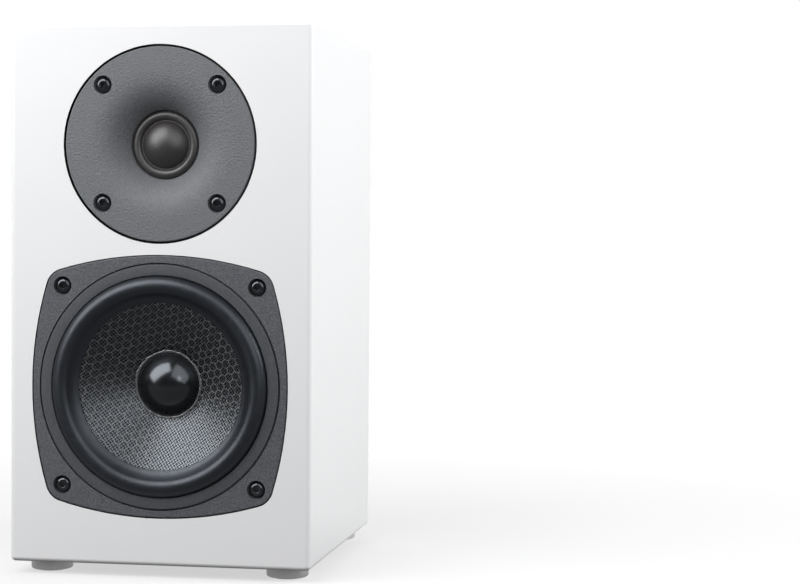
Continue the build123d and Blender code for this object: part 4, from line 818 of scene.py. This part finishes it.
def pocketedPlate(name, outline, firstFront, firstBack):
    # Turned plate with four screw pockets: blocks of its grid are swapped for rings that close in on each hole
    spec = tweeterShape
    circle, hole, back = spec["screwCircle"], spec["holeRadius"], -spec["plateThickness"]
    pocket, pocketDepth = spec["pocketRadius"], spec["pocketDepth"]
    edge, floorEdge = spec["pocketEdge"], spec["pocketFloorEdge"]
    columns, blockRows, half = (plateGrid[key] for key in ("columns", "blockRows", "blockHalf"))
    points, _ = turnedSurface(outline, columns, True)
    index = np.arange(len(points)).reshape(-1, columns)
    nextRow = np.roll(index, -1, 0)
    faces = np.stack([index, np.roll(index, -1, 1), np.roll(nextRow, -1, 1), nextRow], 2)
    keepFace = np.ones(index.shape, bool)
    frontRows = slice(firstFront, firstFront + blockRows + 1)
    radii, heights = outline[frontRows, 0], outline[frontRows, 1]
    allPoints, allFaces = [points], []
    total = len(points)
    for quarter in range(4):
        column = columns // 8 + quarter * columns // 4
        angle = column * 2 * math.pi / columns
        centre = np.array([circle * math.cos(angle), circle * math.sin(angle)])
        across = np.arange(column - half, column + half + 1) % columns
        loops = []
        for first in (firstFront, firstBack):
            last = first + blockRows
            keepFace[first:last, across[:-1]] = False
            loops.append(np.concatenate([
                index[first, across], index[first + 1 : last + 1, across[-1]],
                index[last, across[-2::-1]], index[last - 1 : first : -1, across[0]],
            ]))
        frontLoop, backLoop = loops
        frontEdge, backEdge = (points[loop][:, [0, 2]] for loop in loops)
        direction = frontEdge - centre
        direction /= np.linalg.norm(direction, axis=1)[:, None]
        flat = np.ones(len(direction))
        rings = []
        for share in (0.34, 0.67, 0.86, 1.0):  # from the block's edge to the pocket's
            spot = frontEdge * (1 - share) + (centre + direction * (pocket + edge)) * share
            rings.append((spot, np.interp(np.linalg.norm(spot, axis=1), radii, heights)))
        for radius, height in (
            (pocket, rings[-1][1] - edge),
            (pocket, flat * (floorEdge - pocketDepth)),
            (pocket - floorEdge, flat * -pocketDepth),
            (hole, flat * -pocketDepth),
            (hole, flat * back),
        ):
            rings.append((centre + direction * radius, height))
        previous = frontLoop
        for spot, height in rings:
            here = total + np.arange(len(spot))
            allPoints.append(np.stack([spot[:, 0], height, spot[:, 1]], 1))
            allFaces.append(np.stack([previous, np.roll(previous, -1), np.roll(here, -1), here], 1))
            previous = here
            total += len(spot)
        # the hole's back edge joins the block on the plate's back
        match = np.argmin(((backEdge[:, None] - frontEdge[None]) ** 2).sum(2), 1)
        inner = previous[match]
        allFaces.append(np.stack([backLoop, np.roll(backLoop, -1), np.roll(inner, -1), inner], 1))
    placed = np.concatenate(allPoints) * (mm, -mm, mm) + (tweeterAt.x, faceY, tweeterAt.z)
    return putMesh(name, placed, [faces[keepFace]] + allFaces, sharp=40)


def makeDome():
    spec = tweeterShape
    radius, wall, height, low = spec["domeRadius"], spec["domeWall"], spec["domeHeight"], spec["flangeTop"]
    top, rim = low + spec["cloth"], radius + spec["domeRim"]
    outer = domePoints(radius, top, height, 28)
    under = domePoints(radius - wall, low, height, 28)[::-1]
    outline = np.concatenate([outer, [(rim, top), (rim, low)], under])
    standsFor(turned("tweeterDome", outline, tweeterAt, 160, closed=False), "tweeter_dome", "domeCloth")


def makeRoll():
    # A half ellipse of cloth, and the flange that the plate holds it by
    spec = tweeterShape
    top, cloth = spec["flangeTop"], spec["cloth"]
    low, back = top - cloth, spec["bossBack"]
    centre, half, tall = spec["rollCentre"], spec["rollHalfWidth"], spec["rollHeight"]
    inner = spec["domeRadius"] + spec["rollGap"]
    crest = arcPoints((0, 0), 1.0, 180, 0, 24) * (half, tall) + (centre, top)
    hollow = arcPoints((0, 0), 1.0, 0, 180, 24) * (half - cloth, tall - cloth) + (centre, low)
    clampIn, clampOut = centre + half + cloth, spec["clampRadius"]
    outline = np.concatenate([
        [(inner, low), (inner, top)], crest,
        [(clampOut, top), (clampOut, back), (clampIn, back), (clampIn, low)], hollow,
    ])
    piece = turned("tweeterRoll", outline, tweeterAt, 160)
    standsFor(piece, "tweeter_surround", "domeCloth", rides=False)
    flexBetween(piece, tweeterAt, centre - half, centre + half)


screwShape = {
    "headRadius": 4.3,
    "headHeight": 2.4,
    "crown": 1.75,  # how far the head falls from its crown to its edge
    "crownFlat": 0.42,  # share of the head that is flat
    "crownCurve": 2.3,
    "skirt": 0.35,
    "headEdge": 0.12,
    "socket": 1.5,
    "socketDepth": 1.3,
    "socketEdge": 0.14,
    "shank": 2.0,
    "length": 15.0,
    "tip": 0.6,
}


def makeScrews(name, node, at, offset, seat):
    # Four button heads with a hexagon socket, at an offset across and up from the middle, seated below the face
    spec = screwShape
    top, head, shank, length, tip = (spec[key] for key in ("headHeight", "headRadius", "shank", "length", "tip"))
    socket, floor = spec["socket"], spec["headHeight"] - spec["socketDepth"]
    flat, curve = spec["crownFlat"], spec["crownCurve"]
    shares = np.linspace(0.5, 0.985, 9)
    crown = top - spec["crown"] * (np.maximum(0, shares - flat) / (1 - flat)) ** curve
    outline = np.concatenate([
        [(0, floor - 0.1), (socket * 0.5, floor), (socket, floor + 0.05), (socket, top - 0.12),
         (socket + spec["socketEdge"], top - 0.02)],
        np.stack([head * shares, crown], 1),
        [(head, spec["skirt"]), (head - spec["headEdge"], 0), (shank, 0), (shank, tip - length),
         (shank - tip, -length), (0, -length)],
    ])
    inSocket = np.zeros((len(outline), 1))
    inSocket[1:5] = 1.0

    def sixSided(angle, radius, height):
        # the rows of the socket follow a hexagon instead of a circle
        folded = np.mod(angle + math.pi / 6, math.pi / 3) - math.pi / 6
        return radius * (1 + inSocket * (1 / np.cos(folded) - 1)), height

    offsets = [(across * offset, up * offset) for across in (-1, 1) for up in (-1, 1)]
    piece = turned(name, outline - (0, seat), at, 72, closed=False, shape=sixSided, offsets=offsets, sharp=35)
    standsFor(piece, node, "screwBlack")


makeFaceplate()
makeDome()
makeRoll()
makeScrews("tweeterScrews", "tweeter_screws", tweeterAt, tweeterShape["screwCircle"] / math.sqrt(2),
           tweeterShape["pocketDepth"])
print("tweeter dressed")

# woofer: mm, with heights before the baffle's face
wooferShape = {
    "ledge": -1.8,
    "rubber": 0.8,
    "rollCentre": 53.4,
    "rollRadius": 4.5,
    "crestFrom": 140,  # degrees on the roll at which the lip runs into it
    "outerRadius": 64.5,
    "lipRadius": 44.5,
    "lipStand": 0.35,  # thickness of the lip's edge on the cone
    "lipBevel": 0.15,
    "lipFoot": (1.4, 0.68),  # out from the lip's edge, and up from its top
    "lipBend": (2.8, 1.0),
    "coneRim": 48.3,
    "coneDrop": 19.5,
    "coneThickness": 0.9,
    "coneDepth": 1.17,  # the cone's wall along the axis
    "neckRadius": 12.95,
    "capRadius": 17.25,
    "capHeight": 9.5,
    "capThickness": 0.6,
    "beadUnder": 0.25,  # how far the glue reaches under the cap's edge
    "beadWidth": 1.2,
    "beadHeight": 1.0,
    "beadWander": (0.16, 0.05),
    "ringInner": 58.9,
    "ringOuter": 64.7,
    "ringHeight": 1.4,
    "screwOffset": 53.0,
    "screwSeat": 2.6,
}

# spider: a cloth disc in rings of waves, from the coil's former to the basket's ledge
spiderShape = {
    "depth": -33.0,
    "innerRadius": 13.0,
    "outerRadius": 43.07,
    "waves": (15.0, 38.07, 5),  # from, to, and how many half waves
    "waveSteps": 24,
    "waveHeight": 1.3,
    "cloth": 0.6,
}

# tinsel leads: from the strip in through the basket's window and down in a slack bend to the back of the cone
tinselShape = {
    "spacing": 13.0,
    "diameter": 1.2,
    "basketDepth": -42.0,
    "windowRun": -24.5,
    "bend": 3.0,
    "footBend": 2.0,
    "footRadius": 25.0,
    "footBack": -14.91,
    "slack": 9.0,
    "stub": 3.0,
    "sides": 20,
    "step": 0.8,
}


def coneHeight(radius):
    # Height of the cone's front at a radius: a straight slope from the lip down to the neck
    spec = wooferShape
    slope = spec["coneDrop"] / (spec["lipRadius"] - spec["neckRadius"])
    return spec["ledge"] - (spec["lipRadius"] - radius) * slope


def makeCone():
    spec = wooferShape
    thick, rim, ledge, lip = spec["coneThickness"], spec["coneRim"], spec["ledge"], spec["lipRadius"]
    radii = np.linspace(spec["neckRadius"], lip, 40)
    face = np.stack([radii, coneHeight(radii)], 1)
    rear = face[::-1] - (0, spec["coneDepth"])
    rear[0] = (lip, ledge - thick)
    outline = np.concatenate([face, [(rim, ledge), (rim, ledge - thick)], rear])
    standsFor(turned("wovenCone", outline, wooferAt, 224), "woofer_cone", "wovenCone")


def makeSurround():
    # A half-roll of rubber with a flange outside it
    spec = wooferShape
    ledge, rubber, lip, stand = spec["ledge"], spec["rubber"], spec["lipRadius"], spec["lipStand"]
    top, outer = ledge + rubber, spec["outerRadius"]
    centre, inside = spec["rollCentre"], spec["rollRadius"]
    outside = inside + rubber
    crest = arcPoints((centre, top), outside, spec["crestFrom"], 0, 40)
    hollow = arcPoints((centre, ledge), inside, 0, 180, 40)
    # the lip is glued down along the cone, so it climbs from the cone's edge and bends into the roll
    foot = np.array((lip, ledge + stand)) + spec["lipFoot"]
    bend = np.array((lip, top)) + spec["lipBend"]
    t = np.linspace(0, 1, 12, endpoint=False)[:, None]
    climb = (1 - t) ** 2 * foot + 2 * t * (1 - t) * bend + t**2 * crest[0]
    outline = np.concatenate([
        [(lip, ledge), (lip, ledge + stand * 0.6), (lip + spec["lipBevel"], ledge + stand)], climb, crest,
        [(outer, top), (outer, ledge)], hollow,
    ])
    piece = turned("wooferSurround", outline, wooferAt, 256)
    standsFor(piece, "woofer_surround", "rollRubber", rides=False)
    flexBetween(piece, wooferAt, centre - outside, centre + outside)


def makeCap():
    spec = wooferShape
    radius, inner, height = spec["capRadius"], spec["capRadius"] - spec["capThickness"], spec["capHeight"]
    foot, innerFoot = coneHeight(radius), coneHeight(inner)
    outer = domePoints(radius, foot, height, 36)
    under = domePoints(inner, innerFoot, foot + height - spec["capThickness"] - innerFoot, 36)[::-1]
    piece = turned("dustCap", np.concatenate([outer, under]), wooferAt, closed=False)
    standsFor(piece, "dust_cap", "capBlack")


def makeBead():
    # Glue in the corner between the cap and the cone, laid by hand, so that its outer side and its top wander
    spec = wooferShape
    radius, width, height = spec["capRadius"], spec["beadWidth"], spec["beadHeight"]
    inner, foot = radius - spec["beadUnder"], coneHeight(radius)
    section = np.array([
        (inner, coneHeight(inner)), (radius + width, coneHeight(radius + width)),
        (radius + width * 0.85, foot + height * 0.95), (radius + width * 0.5, foot + height),
        (radius + 0.05, foot + height * 0.8), (inner, coneHeight(inner) + height * 0.5),
    ])

    def uneven(angle, radiusGrid, heightGrid):
        wander = sum(size * np.sin(count * angle + start)
                     for count, start, size in ((5, 0.7, 1.0), (11, 2.1, 0.8), (23, 0.0, 0.6), (41, 1.3, 0.5)))
        outward = np.clip((radiusGrid - inner) / width, 0, 1)
        sideways, upward = spec["beadWander"]
        return radiusGrid + outward * wander * sideways, heightGrid + outward * wander * upward

    bead = turned("capGlueBead", section, wooferAt, 360, shape=uneven, sharp=80)
    standsFor(bead, "cap_glue_bead", "glueClear")


def makeTrimRing():
    spec = wooferShape
    inner, outer = spec["ringInner"], spec["ringOuter"]
    low = spec["ledge"] + spec["rubber"]
    high = low + spec["ringHeight"]
    outline = roundedOutline([(inner, low, 0), (inner, high, 0.4), (outer, high, 0.3), (outer, low, 0)])
    standsFor(turned("trimRing", outline, wooferAt, 256), "woofer_trim_ring", "trimGrey")


def makeSpider():
    spec = spiderShape
    start, end, count = spec["waves"]
    waved = np.linspace(start, end, spec["waveSteps"] * count + 1)
    radii = np.concatenate([[spec["innerRadius"]], waved, [spec["outerRadius"]]])
    share = np.clip((radii - start) / (end - start), 0, 1)
    under = np.stack([radii, spec["depth"] + spec["waveHeight"] * np.sin(share * count * math.pi)], 1)
    piece = turned("spider", np.concatenate([under, under[::-1] + (0, spec["cloth"])]), wooferAt, 160)
    standsFor(piece, "spider", "spiderCloth", rides=False)
    flexBetween(piece, wooferAt, start, end)


def makeTinselLeads():
    # Two round leads along one route in the plane (up from the woofer's axis, height)
    spec = tinselShape
    radius, run, footBack = spec["diameter"] / 2, spec["windowRun"], spec["footBack"]
    foot, stub, bend, sides = spec["footRadius"], spec["stub"], spec["bend"], spec["sides"]
    up = (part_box("tinsel_leads")[1].z - wooferAt.z) / mm - radius
    path = roundedOutline([
        (up, spec["basketDepth"], 0), (up, run, bend), (foot + spec["slack"], run, bend),
        (foot, footBack - stub, spec["footBend"]), (foot, footBack, 0),
    ], 10, closed=False)
    path, length = finerPath(path, spec["step"])
    along = np.gradient(path, axis=0)
    along /= np.linalg.norm(along, axis=1)[:, None]
    across = np.stack([-along[:, 1], along[:, 0]], 1)
    angle = np.arange(sides) * 2 * math.pi / sides
    rows = len(path)
    ring = path[:, None] + radius * np.sin(angle)[None, :, None] * across[:, None]
    sideways = radius * np.cos(angle)[None].repeat(rows, 0)
    grid = np.stack([sideways, -ring[:, :, 1], ring[:, :, 0]], 2)
    lead = np.concatenate([grid.reshape(-1, 3), grid[[0, -1]].mean(1)])  # the two last points close its ends
    index = np.arange(rows * sides).reshape(rows, sides)
    turn = np.roll(index, -1, 1)
    start, end = (np.full(sides, rows * sides + k) for k in range(2))
    faces = [
        np.stack([index[:-1], turn[:-1], turn[1:], index[1:]], 2).reshape(-1, 4),
        np.stack([start, turn[0], index[0]], 1), np.stack([end, index[-1], turn[-1]], 1),
    ]
    places = [(wooferAt.x + side * spec["spacing"] / 2 * mm, faceY, wooferAt.z) for side in (-1, 1)]
    piece = repeatedPiece("tinselLeads", lead, faces, places, sharp=50)
    standsFor(piece, "tinsel_leads", "braidCopper", rides=False)
    # each lead's share: 0 up to the basket's window, rising to 1 at its foot, passed to flex
    still = length[np.argmax(path[:, 1] > run - 2.0)]
    share = (length - still) / (length[-1] - stub - still)
    flex(piece, np.tile(np.concatenate([share.repeat(sides), [0, 1]]), 2))


def finerPath(path, step):
    # The same path with points at most a step apart, and each one's distance along it
    length = np.concatenate([[0], np.cumsum(np.linalg.norm(np.diff(path, axis=0), axis=1))])
    gaps = [np.linspace(a, b, max(1, math.ceil((b - a) / step)), endpoint=False)
            for a, b in zip(length[:-1], length[1:])]
    at = np.concatenate(gaps + [length[-1:]])
    return np.stack([np.interp(at, length, path[:, k]) for k in range(2)], 1), at


dress("woofer_frame", "frameGrey")
makeCone()
makeSurround()
makeCap()
makeBead()
makeTrimRing()
makeSpider()
makeTinselLeads()
makeScrews("wooferScrews", "woofer_screws", wooferAt, wooferShape["screwOffset"], wooferShape["screwSeat"])
print("woofer dressed")

# rear
for part, finish in (
    ("port_tube", "blackSatin"), ("terminal_cup", "blackSatin"), ("cup_screws", "screwBlack"),
    ("binding_posts", "goldBrass"), ("post_collars", "goldBrass"), ("red_clamp_washer", "goldBrass"),
    ("black_clamp_washer", "goldBrass"), ("red_knob", "knobRed"), ("black_knob", "knobBlack"),
):
    dress(part, finish)
print("rear dressed")

# inside
for finish, parts in (
    ("rawBoard", ("shelf_brace",)),
    ("foamGrey", ("damping_pads",)),
    ("foamRubber", ("driver_gaskets",)),
    ("steelZinc", ("foot_screws", "tweeter_top_plate", "tweeter_yoke", "woofer_top_plate", "woofer_yoke",
                   "board_screws")),
    ("goldBrass", ("threaded_inserts", "driver_tabs", "solder_tags", "post_nuts")),
    ("formerFoil", ("tweeter_former",)),
    ("formerFilm", ("voice_coil_former",)),
    ("copperCoil", ("tweeter_voice_coil", "voice_coil")),
    ("magnetBlack", ("tweeter_magnet", "woofer_magnet")),
    ("blackSatin", ("tweeter_rear_chamber", "inductor_bobbins")),
    ("stripBrown", ("woofer_terminal_strip",)),
    ("nylonWhite", ("board_standoffs",)),
    ("boardGreen", ("crossover_board",)),
    ("copperChoke", ("inductor_windings",)),
    ("capacitorBlue", ("capacitors",)),
    ("cementWhite", ("resistor",)),
    ("sleeveRed", ("red_leads",)),
    ("sleeveBlack", ("black_leads",)),
):
    for part in parts:
        paint(part, finish)
print("inside dressed")
